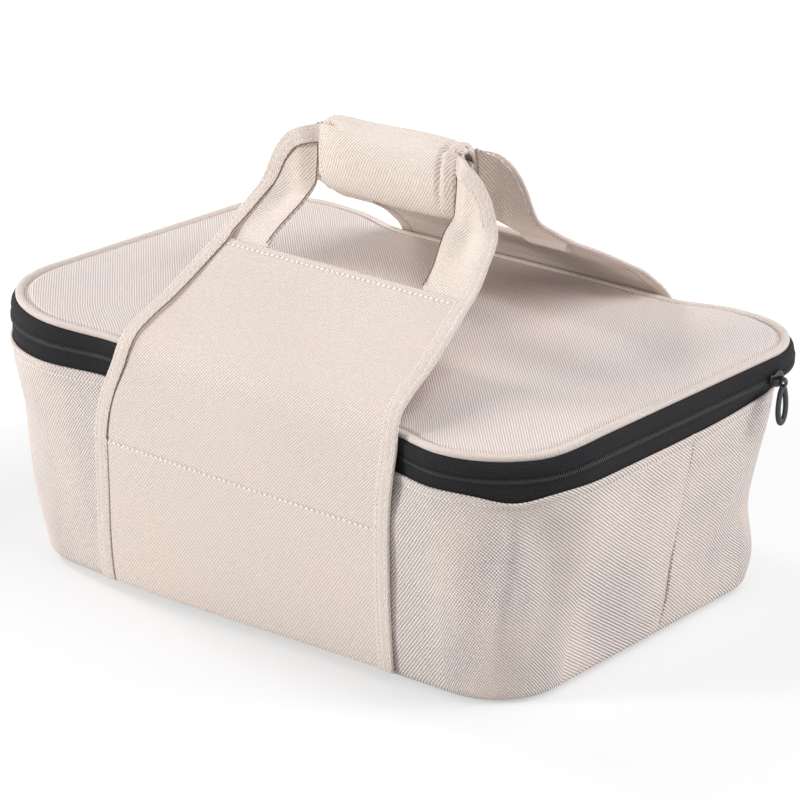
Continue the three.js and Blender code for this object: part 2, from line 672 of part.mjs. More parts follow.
// Slings, front and rear: sewn lower half, free panel, arms, hems, and the bar between the arms.
for (const [name, side] of [["front", -1], ["rear", 1]]) {
  const inEdge = (half) => half - HEM_WIDTH;
  const sewn = sewnStrip((h) => -inEdge(h) + GAP, (h) => inEdge(h) - GAP, 8, CLOTH, side);
  add(`${name}_sling_sewn`, sewn, "canvas");
  add(`${name}_sewn_hem_left`, sewnStrip((h) => -h, (h) => -inEdge(h), 1, HEM_THICK, side), "canvas");
  add(`${name}_sewn_hem_right`, sewnStrip(inEdge, (h) => h, 1, HEM_THICK, side), "canvas");
  const free = (t) => slingHalf(t) - HEM_WIDTH;
  const [freeLeft, freeRight] = [(t) => -free(t) + GAP, (t) => free(t) - GAP];
  add(`${name}_sling_panel`, slingStrip(0, holeStop, 18, freeLeft, freeRight, 8, CLOTH, side), "canvas");
  const hem = slingStrip(0, 1, 26, (t) => -slingHalf(t), (t) => -free(t), 1, HEM_THICK, side);
  add(`${name}_hem_left`, hem, "canvas");
  add(`${name}_hem_right`, slingStrip(0, 1, 26, free, slingHalf, 1, HEM_THICK, side), "canvas");
  const armFoot = holeStop + 0.002;
  const arm = slingStrip(armFoot, 1, 8, freeLeft, (t) => -holeHalf(t), 2, CLOTH, side);
  add(`${name}_arm_left`, arm, "canvas");
  add(`${name}_arm_right`, slingStrip(armFoot, 1, 8, holeHalf, freeRight, 2, CLOTH, side), "canvas");
  const barHalf = GRIP_LENGTH / 2;
  const [cover, cord] = [[BAR_HALF_DEPTH, BAR_HALF_HEIGHT], [CORD_HALF_DEPTH, CORD_HALF_HEIGHT]];
  const bore = cord.map((size) => size + GAP);
  add(`${name}_bar_cover`, bar(side * barY, cover, bore, barHalf), "canvas");
  add(`${name}_bar_cord`, bar(side * barY, cord, [0, 0], barHalf - 1), "cord");
}

// Hand wrap: a padded half sewn to the front bar, a flap that closes it at the rear,
// and its fastening strips.
add("handle_wrap", wrapShell(-80, 90, 16, WRAP_THICK, 0), "canvas");
add("wrap_flap", wrapShell(91, 238, 14, WRAP_THICK, 0), "canvas");
add("wrap_flap_tail", wrapShell(239.2, 279, 5, 1.6, 0), "canvas");
add("wrap_hook_strip", wrapShell(241, 278, 5, 2.5 + GAP, 1.6 + GAP), "strip");
add("wrap_loop_strip", wrapShell(241, 278.5, 5, WRAP_THICK, WRAP_THICK - 1.2), "strip");

export default group;
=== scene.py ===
import math
import bmesh
import bpy
import numpy as np
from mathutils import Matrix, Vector


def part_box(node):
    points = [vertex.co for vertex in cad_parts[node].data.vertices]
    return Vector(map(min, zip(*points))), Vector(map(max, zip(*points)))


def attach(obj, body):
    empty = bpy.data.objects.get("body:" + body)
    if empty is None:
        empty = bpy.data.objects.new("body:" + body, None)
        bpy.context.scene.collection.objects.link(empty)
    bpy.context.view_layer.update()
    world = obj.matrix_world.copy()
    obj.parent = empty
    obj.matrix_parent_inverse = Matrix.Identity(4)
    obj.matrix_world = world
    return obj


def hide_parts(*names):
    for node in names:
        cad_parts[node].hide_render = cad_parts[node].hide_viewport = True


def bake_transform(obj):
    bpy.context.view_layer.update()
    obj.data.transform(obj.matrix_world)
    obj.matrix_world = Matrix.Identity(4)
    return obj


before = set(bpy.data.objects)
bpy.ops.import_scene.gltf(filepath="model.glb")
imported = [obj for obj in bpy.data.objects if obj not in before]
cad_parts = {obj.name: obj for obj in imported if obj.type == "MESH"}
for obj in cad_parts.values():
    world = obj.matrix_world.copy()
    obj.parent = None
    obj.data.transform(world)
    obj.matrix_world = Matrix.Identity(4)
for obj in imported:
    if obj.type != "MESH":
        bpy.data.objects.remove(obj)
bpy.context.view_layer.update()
print("frame loaded with", len(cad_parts), "solids")

mm = 0.001


# Small helpers for numbers and curves

def ease(value, low, high):
    # Smooth step: 0 below low, 1 above high, 3k^2 - 2k^3 between.
    k = np.clip((value - low) / (high - low), 0, 1)
    return k * k * (3 - 2 * k)


def bell(value, middle, wide):
    # Gaussian bump of height 1.
    return np.exp(-((value - middle) / wide) ** 2)


def lengthsAlong(points):
    # Running length of a line of points.
    steps = np.linalg.norm(np.diff(points, axis=0), axis=1)
    return np.concatenate([[0], np.cumsum(steps)])


def sample(places, run, values):
    # Each column of values, given along run, read at places.
    return [np.interp(places, run, column) for column in np.transpose(values)]


def smoothLine(points, count):
    # Cubic Hermite through the points, tangents from the neighbours over chord length,
    # then resampled to even steps of length.
    points = np.asarray(points, float)
    chord = lengthsAlong(points)
    slope = np.gradient(points, chord, axis=0)
    t = np.linspace(0, chord[-1], 40 * len(points))
    i = np.clip(np.searchsorted(chord, t, side="right") - 1, 0, len(points) - 2)
    gap = (chord[i + 1] - chord[i])[:, None]
    k = (t - chord[i])[:, None] / gap
    dense = ((2 * k**3 - 3 * k**2 + 1) * points[i] + (k**3 - 2 * k**2 + k) * gap * slope[i]
             + (3 * k**2 - 2 * k**3) * points[i + 1] + (k**3 - k**2) * gap * slope[i + 1])
    run = lengthsAlong(dense)
    return np.stack(sample(np.linspace(0, run[-1], count), run, dense), 1)


def lookUp(table, value):
    # A smooth curve through a short table of places and values.
    line = smoothLine(table, 200)
    return np.interp(value, line[:, 0], line[:, 1])


def unit(vectors):
    # Each vector over its length.
    return vectors / np.linalg.norm(vectors, axis=-1, keepdims=True)


def along(points):
    # Unit direction at each point of a line.
    return unit(np.gradient(points, axis=0))


def same(vector, count):
    # One direction for every point of a line.
    return np.repeat(np.array([vector], float), count, 0)


def flatOf(x, y):
    # Flat place of each point of a cloth, in metres.
    return np.stack(np.broadcast_arrays(x, y), -1)


# Meshes from grids of points

def placed(name, mesh):
    # A new object at the origin for a mesh.
    piece = bpy.data.objects.new(name, mesh)
    bpy.context.scene.collection.objects.link(piece)
    return piece


def surface(name, grid, cloth, closed=False, capped=False, flip=False):
    # Quads between neighbouring points of a grid; closed joins the last column to the first,
    # capped fills the first and last row, cloth holds the flat place of each point in metres.
    rows, cols = grid.shape[:2]
    r = np.arange(rows - 1)[:, None]
    c = np.arange(cols if closed else cols - 1)[None, :]
    n = (c + 1) % cols
    low, high = r * cols, (r + 1) * cols
    quads = np.stack([low + c, low + n, high + n, high + c], -1).reshape(-1, 4)
    corners = np.stack([cloth[r, c], cloth[r, c + 1], cloth[r + 1, c + 1], cloth[r + 1, c]], -2)
    corners = corners.reshape(-1, 4, 2)
    if flip:
        quads, corners = quads[:, ::-1], corners[:, ::-1]
    faces = quads.tolist()
    flat = corners.reshape(-1, 2)
    if capped:
        first = np.arange(cols)
        last = first + (rows - 1) * cols
        faces += [first[::-1].tolist(), last.tolist()]
        flat = np.concatenate([flat, cloth[0, :cols], cloth[0, :cols]])
    mesh = bpy.data.meshes.new(name)
    mesh.from_pydata(grid.reshape(-1, 3).tolist(), [], faces)
    layer = mesh.uv_layers.new(name="cloth")
    layer.data.foreach_set("uv", flat.astype(np.float32).ravel())
    mesh.shade_smooth()
    mesh.set_sharp_from_angle(angle=math.radians(58))
    return placed(name, mesh)


def tubes(name, points):
    # Many short tubes of equal build, points by tube, ring and side: quads between the rings and end caps.
    count, rings, sides = points.shape[:3]
    base = (np.arange(count) * rings * sides)[:, None, None]
    low = base + np.arange(rings - 1)[None, :, None] * sides
    k = np.arange(sides)[None, None, :]
    n = (k + 1) % sides
    quads = np.stack([low + k, low + n, low + sides + n, low + sides + k], -1).reshape(-1, 4)
    ends = base[:, 0] + np.arange(sides)
    caps = np.concatenate([ends[:, ::-1], ends + (rings - 1) * sides])
    mesh = bpy.data.meshes.new(name)
    mesh.from_pydata(points.reshape(-1, 3).tolist(), [], quads.tolist() + caps.tolist())
    return placed(name, mesh)


def mended(piece, change):
    # Runs one bmesh change on a piece's mesh.
    work = bmesh.new()
    work.from_mesh(piece.data)
    change(work)
    work.to_mesh(piece.data)
    work.free()
    return piece


def weld(piece):
    # Joins the doubled points where a loop closes and at a middle.
    return mended(piece, lambda work: bmesh.ops.remove_doubles(work, verts=work.verts, dist=1e-6))


def outward(piece):
    # Turns the faces of closed shells outwards.
    return mended(piece, lambda work: bmesh.ops.recalc_face_normals(work, faces=work.faces))


def joined(name, parts):
    # Several closed shells put into one mesh.
    work = bmesh.new()
    for part in parts:
        work.from_mesh(part.data)
        bpy.data.objects.remove(part)
    mesh = bpy.data.meshes.new(name)
    work.to_mesh(mesh)
    work.free()
    mesh.shade_smooth()
    mesh.set_sharp_from_angle(angle=math.radians(50))
    return outward(placed(name, mesh))


def thicken(piece, thick):
    # Cloth thickness, grown to the inside.
    wall = piece.modifiers.new("thickness", "SOLIDIFY")
    wall.thickness = thick
    wall.offset = -1.0
    edges = piece.modifiers.new("edges", "EDGE_SPLIT")
    edges.split_angle = math.radians(55)
    return piece


def dress(piece, finish, nodes=(), body=None):
    # Finish in the piece's material slot, the solids it stands for and the body it rides on.
    piece.data.materials.clear()
    piece.data.materials.append(finish)
    if nodes:
        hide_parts(*nodes)
    if body:
        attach(piece, body)
    return piece


def roundSection(halfWide, halfThick, count=20, power=2.6):
    # Superellipse round an edge: |a/A|^p + |b/B|^p = 1.
    angle = np.linspace(0, 2 * np.pi, count, endpoint=False)
    c, s = np.cos(angle), np.sin(angle)
    return np.stack([halfWide * np.sign(c) * np.abs(c) ** (2 / power),
                     halfThick * np.sign(s) * np.abs(s) ** (2 / power)], -1)


def sweep(name, path, wideWay, thickWay, section, closed=False):
    # A closed section of (across, out) points carried along a path; section may change along it.
    if section.ndim == 2:
        section = np.repeat(section[None], len(path), 0)
    grid = path[:, None] + wideWay[:, None] * section[..., :1] + thickWay[:, None] * section[..., 1:]
    steps = np.linalg.norm(np.diff(section, axis=1, append=section[:, :1]), axis=2)
    around = np.concatenate([np.zeros((len(path), 1)), np.cumsum(steps, 1)], 1)
    flat = flatOf(around, lengthsAlong(path)[:, None])
    return surface(name, grid, flat, closed=True, capped=not closed)


def stitches(name, path, outWay, look):
    # Separate thread stitches: short bent capsules, one every pitch, whose ends dip into the cloth.
    run = lengthsAlong(path)
    middle = np.arange(look["pitch"] / 2, run[-1], look["pitch"])
    centre, tangent, normal = [np.stack(sample(middle, run, line), 1) for line in (path, along(path), outWay)]
    tangent = unit(tangent)
    normal = unit(normal - tangent * (normal * tangent).sum(1, keepdims=True))
    side = np.cross(tangent, normal)
    place = np.array([-1.0, -0.72, 0, 0.72, 1.0]) * look["length"] / 2
    fat = np.array([0.45, 0.9, 1.0, 0.9, 0.45]) * look["thick"] / 2
    dip = np.array([-1.0, 0.1, 0.45, 0.1, -1.0]) * look["thick"] / 2
    sides = 6
    angle = np.linspace(0, 2 * np.pi, sides, endpoint=False)
    ring = fat[:, None, None] * np.stack([np.cos(angle), np.sin(angle)], -1)[None]
    points = (centre[:, None, None] + tangent[:, None, None] * place[:, None, None]
              + normal[:, None, None] * (ring[..., 1:] + dip[:, None, None])
              + side[:, None, None] * ring[..., :1])
    piece = tubes(name, points)
    mesh = piece.data
    flat = flatOf(np.arange(sides) * 0.3 * mm, points[..., 0]).reshape(-1, 2)
    index = np.zeros(len(mesh.loops), np.int32)
    mesh.loops.foreach_get("vertex_index", index)
    layer = mesh.uv_layers.new(name="cloth")
    layer.data.foreach_set("uv", flat[index].astype(np.float32).ravel())
    mesh.shade_smooth()
    return piece


# Finishes written as expressions

class Wire:
    # A socket with sums: each operator adds one Math node.
    def __init__(self, graph, node, output):
        self.graph = graph
        self.node = node
        self.socket = node.outputs[output] if len(node.outputs) else None

    def out(self, output):
        return Wire(self.graph, self.node, output)

    def maths(self, operation, *terms):
        return self.graph.node("ShaderNodeMath", dict(enumerate(terms)), operation=operation)

    def __add__(self, other):
        return self.maths("ADD", self, other)

    def __radd__(self, other):
        return self.maths("ADD", other, self)

    def __sub__(self, other):
        return self.maths("SUBTRACT", self, other)

    def __rsub__(self, other):
        return self.maths("SUBTRACT", other, self)

    def __mul__(self, other):
        return self.maths("MULTIPLY", self, other)

    def __rmul__(self, other):
        return self.maths("MULTIPLY", other, self)

    def sine(self):
        return self.maths("SINE", self)

    def clamp(self, low, high):
        return self.graph.node("ShaderNodeClamp", {"Value": self, "Min": low, "Max": high})

    def above(self, low, high):
        # 0 below low, 1 above high
        return self.graph.node("ShaderNodeMapRange", {"Value": self, "From Min": low, "From Max": high},
                               interpolation_type="SMOOTHSTEP")


class Graph:
    # The node tree of a material or of the world.
    def __init__(self, owner):
        self.owner = owner
        owner.use_nodes = True
        self.tree = owner.node_tree
        self.tree.nodes.clear()

    def node(self, kind, inputs={}, output=0, **settings):
        # Settings first, then the values or links of the sockets
        made = self.tree.nodes.new(kind)
        for key, value in settings.items():
            setattr(made, key, value)
        for key, value in inputs.items():
            if isinstance(value, Wire):
                self.tree.links.new(value.socket, made.inputs[key])
            else:
                made.inputs[key].default_value = value
        return Wire(self, made, output)

    def cloth(self):
        # Flat place on the cloth, in metres
        return self.node("ShaderNodeUVMap", uv_map="cloth")

    def solid(self):
        # Place in the piece's own frame
        return self.node("ShaderNodeTexCoord", output="Object")

    def mix(self, share, first, second):
        # Colour mix; the colour sockets of the Mix node are 6 and 7, its colour output 2
        return self.node("ShaderNodeMix", {0: share, 6: first, 7: second}, 2, data_type="RGBA")

    def noise(self, place, scale, detail=2.0, rough=0.5):
        inputs = {"Vector": place, "Scale": scale, "Detail": detail, "Roughness": rough}
        return self.node("ShaderNodeTexNoise", inputs)

    def stretched(self, place, scale, turn=0.0):
        # The place scaled, and turned about the cloth's normal
        return self.node("ShaderNodeMapping", {"Vector": place, "Scale": scale, "Rotation": (0, 0, turn)})

    def seen(self):
        # 1 where the ray comes straight, off a gloss or through glass from the camera
        path = self.node("ShaderNodeLightPath")
        rays = path.out("Is Camera Ray") + path.out("Is Glossy Ray") + path.out("Is Transmission Ray")
        return rays.clamp(0, 1)

    def finish(self, inputs, height, distance, strength):
        # Principled surface with a bump of the given height
        bump = {"Height": height, "Distance": distance, "Strength": strength}
        inputs["Normal"] = self.node("ShaderNodeBump", bump)
        self.node("ShaderNodeOutputMaterial", {"Surface": self.node("ShaderNodeBsdfPrincipled", inputs)})
        return self.owner


def newFinish(name):
    # The graph of a new material.
    return Graph(bpy.data.materials.new(name))


def twillFinish(name, look):
    # Twill: dark lines between pale floats, sin(2 pi (v cos a - u sin a) / pitch), shaken by noise,
    # with a second set across it where the piece says so, and flecks drawn out along the yarn.
    f = newFinish(name)
    place = f.cloth()
    uv = f.node("ShaderNodeSeparateXYZ", {0: place})
    u, v = uv.out("X"), uv.out("Y")
    shake = f.noise(place, look["shakeScale"])
    turn = 2 * math.pi / look["pitch"]

    def lines(angle, scale):
        a = math.radians(angle)
        phase = u * (-math.sin(a) * turn * scale) + v * (math.cos(a) * turn * scale)
        return (phase + shake * look["shake"]).sine()

    first = lines(look["angle"], 1.0)
    second = lines(look["crossAngle"], look["crossScale"])
    grain = f.node("ShaderNodeAttribute", output="Fac", attribute_name="grain")
    line = first * (1 - grain) + second * (look["cross"] + (1 - look["cross"]) * grain)
    fleck = f.noise(f.stretched(place, look["fleckScale"], look["fleckTurn"]), 1.0, 3.0, 0.65)
    yarn = f.noise(f.stretched(place, look["yarnScale"]), 1.0, 2.0, 0.6)
    cloud = f.noise(place, look["cloudScale"], 3.0)
    tone = line * look["lines"] + (fleck - 0.5) * look["flecks"] + (yarn - 0.5) * look["yarns"] + 0.5
    tone = tone.clamp(0, 1)
    tint = f.mix(tone, look["shade"], look["pale"])
    warm = f.mix(cloud.above(0.38, 0.66), tint, f.mix(tone, look["shadeWarm"], look["paleWarm"]))
    inputs = {"Base Color": warm, "Roughness": 0.86 + (fleck - 0.5) * 0.16, "Specular IOR Level": 0.28,
              "Sheen Weight": look["sheen"], "Sheen Roughness": 0.55}
    return f.finish(inputs, line * 0.5 + fleck * 0.8 + yarn * 0.5, look["bump"], 0.55)


canvasLook = {
    "pitch": 1.50 * mm, "angle": 53.0, "crossAngle": -28.0, "crossScale": 1.1, "cross": 0.35, "lines": 0.40,
    "shakeScale": 210.0, "shake": 2.2, "fleckScale": (1500, 520, 1), "fleckTurn": 0.5, "flecks": 1.20,
    "yarnScale": (240, 1700, 1), "yarns": 0.60, "cloudScale": 16.0, "sheen": 0.10, "bump": 0.30 * mm,
    "pale": (0.845, 0.771, 0.718, 1), "shade": (0.555, 0.470, 0.418, 1),
    "paleWarm": (0.852, 0.768, 0.706, 1), "shadeWarm": (0.572, 0.472, 0.406, 1),
}
canvas = twillFinish("natural_twill", canvasLook)
# The same canvas painted lighter on the grip, the wrap and the arms: painted light standing in for the
# stronger light they catch.
gripTwillPaintedLight = twillFinish("grip_twill_painted_light", canvasLook | {
    "pale": (0.945, 0.862, 0.792, 1), "paleWarm": (0.950, 0.858, 0.780, 1),
    "shade": (0.610, 0.516, 0.455, 1)})
wallTwill = twillFinish("wall_twill", canvasLook | {
    "lines": 0.90, "flecks": 2.1, "bump": 0.60 * mm, "cross": 0.9, "crossAngle": -36.0, "crossScale": 1.0,
    "pale": (0.930, 0.858, 0.815, 1), "paleWarm": (0.935, 0.850, 0.795, 1),
    "shade": (0.400, 0.340, 0.318, 1)})
lidTwill = twillFinish("lid_twill", canvasLook | {
    "pitch": 1.36 * mm, "angle": 135.0, "crossAngle": 50.0, "lines": 0.62,
    "pale": (0.866, 0.804, 0.786, 1), "paleWarm": (0.842, 0.776, 0.752, 1)})
hemTwill = twillFinish("hem_twill", canvasLook | {
    "lines": 0.10, "pitch": 1.3 * mm, "angle": 75.0, "pale": (0.900, 0.825, 0.765, 1)})
liningCloth = twillFinish("lining_cloth", canvasLook | {
    "pitch": 0.9 * mm, "lines": 0.10, "flecks": 0.3, "yarns": 0.3, "sheen": 0.05, "angle": 45.0,
    "pale": (0.720, 0.700, 0.680, 1), "shade": (0.560, 0.540, 0.520, 1),
    "paleWarm": (0.730, 0.705, 0.680, 1), "shadeWarm": (0.570, 0.545, 0.520, 1)})


def tapeFinish(name, ribPitch, weftPitch):
    # Woven zip tape: fine ribs along its length and a faint herring bone across.
    f = newFinish(name)
    place = f.cloth()
    uv = f.node("ShaderNodeSeparateXYZ", {0: place})
    rib = (uv.out("Y") * (2 * math.pi / ribPitch)).sine()
    weft = (uv.out("X") * (2 * math.pi / weftPitch) + rib * 1.4).sine()
    fuzz = f.noise(f.stretched(place, (900, 1600, 1)), 1.0, 3.0, 0.6)
    tone = (rib * 0.26 + weft * 0.26 + (fuzz - 0.5) * 1.5 + 0.36).clamp(0, 1)
    colour = f.mix(tone, (0.0040, 0.0040, 0.0046, 1), (0.036, 0.036, 0.040, 1))
    inputs = {"Base Color": colour, "Roughness": 0.72 + fuzz * 0.2, "Specular IOR Level": 0.22}
    return f.finish(inputs, rib * 0.5 + weft * 0.4 + fuzz * 0.6, 0.25 * mm, 0.7)


def mouldedFinish(name, dark, pale, rough, metal=0.0):
    # Lacquered or moulded small parts: fine speckle, soft wear by noise.
    f = newFinish(name)
    place = f.solid()
    speck = f.noise(place, 2600.0, 3.0)
    wear = f.noise(place, 320.0, 4.0, 0.7)
    colour = f.mix((speck * 0.6 + wear.above(0.56, 0.74) * 0.5).clamp(0, 1), dark, pale)
    inputs = {"Base Color": colour, "Roughness": rough + (speck - 0.5) * 0.2, "Metallic": metal}
    return f.finish(inputs, speck * 0.4 + wear * 0.6, 0.05 * mm, 0.4)


def foamFinish(name):
    # Open cell foam: small cells from a Voronoi distance.
    f = newFinish(name)
    cell = f.node("ShaderNodeTexVoronoi", {"Vector": f.solid(), "Scale": 900.0})
    colour = f.mix(cell.above(0.1, 0.6), (0.50, 0.49, 0.45, 1), (0.74, 0.73, 0.69, 1))
    return f.finish({"Base Color": colour, "Roughness": 0.93 - cell * 0.1}, cell, 0.4 * mm, 0.6)


def boardFinish(name):
    # Grey fibre board: long fibres and flecks.
    f = newFinish(name)
    fibre = f.noise(f.stretched(f.solid(), (180, 900, 900)), 1.0, 4.0, 0.7)
    colour = f.mix(fibre.above(0.3, 0.7), (0.20, 0.17, 0.14, 1), (0.36, 0.32, 0.27, 1))
    return f.finish({"Base Color": colour, "Roughness": 0.78 + fibre * 0.15}, fibre, 0.2 * mm, 0.5)


def threadFinish(name, dark, pale):
    # Twisted sewing thread.
    f = newFinish(name)
    ply = f.noise(f.stretched(f.cloth(), (2500, 1200, 1)), 1.0, 2.0)
    inputs = {"Base Color": f.mix(ply.above(0.3, 0.7), dark, pale), "Roughness": 0.7 + ply * 0.15,
              "Sheen Weight": 0.2}
    return f.finish(inputs, ply, 0.1 * mm, 0.4)


def nappedFinish(name, dark, pale, scale):
    # Hook or loop tape: dense short pile.
    f = newFinish(name)
    place = f.cloth()
    pile = f.node("ShaderNodeTexVoronoi", {"Vector": place, "Scale": scale})
    fuzz = f.noise(place, scale * 2.0, 3.0)
    colour = f.mix((pile + fuzz * 0.5).above(0.3, 1.0), pale, dark)
    return f.finish({"Base Color": colour, "Roughness": 0.8 + fuzz * 0.15}, 1 - pile, 0.5 * mm, 0.8)


tapeWeave = tapeFinish("zip_tape_weave", 1.15 * mm, 0.95 * mm)
coilNylon = mouldedFinish("coil_nylon", (0.006, 0.006, 0.007, 1), (0.020, 0.020, 0.022, 1), 0.55)
sliderLacquer = mouldedFinish("slider_lacquer", (0.012, 0.012, 0.013, 1), (0.055, 0.055, 0.058, 1),
                              0.33, 0.35)
foamCells = foamFinish("foam_cells")
fibreBoard = boardFinish("fibre_board")
creamThread = threadFinish("cream_thread", (0.86, 0.80, 0.73, 1), (0.98, 0.95, 0.90, 1))
# Dark brown thread: stitches of the end seams, and painted shade in the gaps beside the hems and the arms'
# inner edges.
darkThreadAndGapShade = threadFinish("seam_thread_and_painted_gap_shade", (0.130, 0.070, 0.045, 1), (0.240, 0.145, 0.100, 1))
loopPile = nappedFinish("loop_pile", (0.42, 0.37, 0.32, 1), (0.72, 0.66, 0.59, 1), 1400.0)
hookPile = nappedFinish("hook_pile", (0.40, 0.36, 0.31, 1), (0.70, 0.65, 0.59, 1), 900.0)
print("finishes made")


# Threads: coarse rows, fine rows, end seams and dark lines of painted gap shade

threadLook = {"pitch": 3.6 * mm, "length": 2.6 * mm, "thick": 1.4 * mm}
fineLook = {"pitch": 2.6 * mm, "length": 1.9 * mm, "thick": 0.55 * mm}
seamLook = {"pitch": 2.6 * mm, "length": 1.2 * mm, "thick": 0.42 * mm}


def sewRow(name, path, outWay, look, body=None, finish=creamThread):
    # A row of stitches; one without a body has its placement baked by its caller.
    return dress(stitches(name, path, outWay, look), finish, (), body)


def gapShadeLine(name, path, outWay, radius, body=None):
    # A dark thread laid along a path: painted shade of the gap beside a hem's or an arm's inner edge.
    line = sweep(name, path, np.cross(along(path), outWay), outWay, roundSection(radius, radius, 8, 2))
    return dress(outward(line), darkThreadAndGapShade, (), body)


# The bag's outline, the same loop as the solids: straight ends, corner arcs and bowed long sides

bag = {
    "rimLength": 400 * mm, "rimWidth": 275 * mm, "baseLength": 360 * mm, "baseWidth": 246 * mm,
    "wallTop": 120 * mm, "bulge": 0.8 * mm, "sideRadius": 3200 * mm,
    "frontCorner": 66 * mm, "rearCorner": 50 * mm, "baseCornerShare": 0.62, "rearInset": 10 * mm,
    "endShare": 0.27, "cornerShare": 0.26, "roll": 7 * mm,
}


def levelAt(z):
    # Half sizes, front and rear, and corner shares at a height; the sides swell by 4 bulge k (1 - k).
    k = np.clip(z / bag["wallTop"], 0, 1)
    swell = 4 * bag["bulge"] * k * (1 - k)
    a = (bag["baseLength"] + (bag["rimLength"] - bag["baseLength"]) * k) / 2 + swell
    b = (bag["baseWidth"] + (bag["rimWidth"] - bag["baseWidth"]) * k) / 2 + swell
    back = b - bag["rearInset"] * (1 - k)
    return a, b, back, bag["baseCornerShare"] + (1 - bag["baseCornerShare"]) * k


def outline(turn, z, out):
    # turn 0 is the middle of the right end, 1 the rear, 2 the left end, 3 the front; out moves outwards.
    # Each quarter has a straight end, a corner arc of radius r and a long side of radius big.
    turn, z, out = np.broadcast_arrays(*[np.asarray(value, float) for value in (turn, z, out)])
    a, fore, back, share = levelAt(z)
    part = np.floor(turn).astype(int) % 4
    b = np.where(part < 2, back, fore)
    f = turn - np.floor(turn)
    f = np.where(part % 2 == 1, 1 - f, f)
    r = np.where(part < 2, bag["rearCorner"], bag["frontCorner"]) * share
    big = bag["sideRadius"]
    cy = b - big + np.sqrt((big - r) ** 2 - (a - r) ** 2)
    tilt = np.arcsin((a - r) / (big - r))
    e, c = bag["endShare"], bag["endShare"] + bag["cornerShare"]
    bend = (np.pi / 2 - tilt) * np.clip((f - e) / (c - e), 0, 1)
    lean = tilt * (1 - np.clip((f - c) / (1 - c), 0, 1))
    x = np.where(f < c, a - r + (r + out) * np.cos(bend), (big + out) * np.sin(lean))
    y = np.where(f < c, cy + (r + out) * np.sin(bend), b - big + (big + out) * np.cos(lean))
    x = np.where(f < e, a + out, x)
    y = np.where(f < e, cy * f / e, y)
    signX = np.where((part == 0) | (part == 3), 1, -1)
    signY = np.where(part < 2, 1, -1)
    return np.stack([x * signX, y * signY, z], -1)


def girth(turn):
    # Length along the rim from turn -1, for the flat place of the cloth.
    table = np.linspace(-1, 5, 1500)
    run = lengthsAlong(outline(table, bag["wallTop"], 0))
    return np.interp(turn, table, run)


folds = [
    # turn and height of the middle, half width in turns, half height, lean in turns per metre, mm outwards
    (0.150, 0.058, 0.050, 0.034, 2.6, 3.4),
    (0.075, 0.092, 0.060, 0.016, 1.5, -3.0),
    (0.255, 0.040, 0.050, 0.030, 2.0, -2.6),
    (3.930, 0.060, 0.070, 0.030, 1.2, 2.4),
    (3.800, 0.036, 0.055, 0.022, 1.6, -2.4),
    (3.590, 0.104, 0.014, 0.016, -0.3, 1.6),
    (3.640, 0.094, 0.030, 0.028, -0.8, -2.6),
    (3.500, 0.050, 0.045, 0.040, 0.3, 1.6),
    # the front right corner is creased, with a hollow on its right
    (3.590, 0.074, 0.022, 0.040, 0.4, 3.0),
    (3.668, 0.066, 0.036, 0.042, 0.4, -3.0),
    (2.400, 0.060, 0.050, 0.036, -0.8, 2.0),
    (2.150, 0.070, 0.060, 0.030, 1.6, -2.6),
    (1.850, 0.055, 0.060, 0.034, -1.8, 2.8),
    (1.550, 0.070, 0.050, 0.034, 0.6, -2.2),
    (0.480, 0.064, 0.050, 0.036, -0.6, 2.2),
]


def foldAt(turn, z):
    # Sum of the folds, each a leaning Gaussian, with a slow wave round the wall;
    # flat at zip, base and slings.
    total = 0.7 * mm * np.sin(2 * np.pi * 3.3 * turn + 60 * z)
    for middle, level, wide, tall, lean, deep in folds:
        gap = (turn - middle + 2) % 4 - 2 - lean * (z - level)
        total = total + deep * mm * np.exp(-(gap / wide) ** 2 - ((z - level) / tall) ** 2)
    free = 1 - bell(turn % 4, 3.0, 0.34) - bell(turn % 4, 1.0, 0.34)
    return total * free * ease(z, 0.008, 0.030) * (1 - ease(z, 0.098, 0.117))


slack = {
    "pull": 8 * mm, "pullHeights": (0.090, 0.122), "press": 1.2 * mm, "pressHeights": (0.1365, 0.1405),
    "middle": 3 * mm, "half": 95 * mm, "fade": 45 * mm, "outer": (0.080, 0.124),
}


def settle(p):
    # The pulled-up slings draw the rim in under them and press the lid's edge down a little.
    x, y, z = p[..., 0], p[..., 1], p[..., 2]
    across = 1 - ease(np.abs(x - slack["middle"]), slack["half"], slack["half"] + slack["fade"])
    outer = ease(np.abs(y), *slack["outer"])
    draw = slack["pull"] * across * ease(z, *slack["pullHeights"]) * outer
    down = slack["press"] * across * ease(z, *slack["pressHeights"]) * outer
    return stand(np.stack([x, y - np.sign(y) * draw, z - down], -1))


stance = {
    "forward": 9 * mm, "inward": 16 * mm, "rise": 4 * mm,
    "dip": 4 * mm, "dipAt": (0.181, -0.118), "dipReach": 17 * mm,
    "droop": 5 * mm, "droopAt": (0.165, -0.120), "droopReach": 80 * mm,
    "cave": 10 * mm, "caveAt": (0.192, 0.112), "caveReach": 58 * mm, "caveWay": (-0.76, -0.65),
}


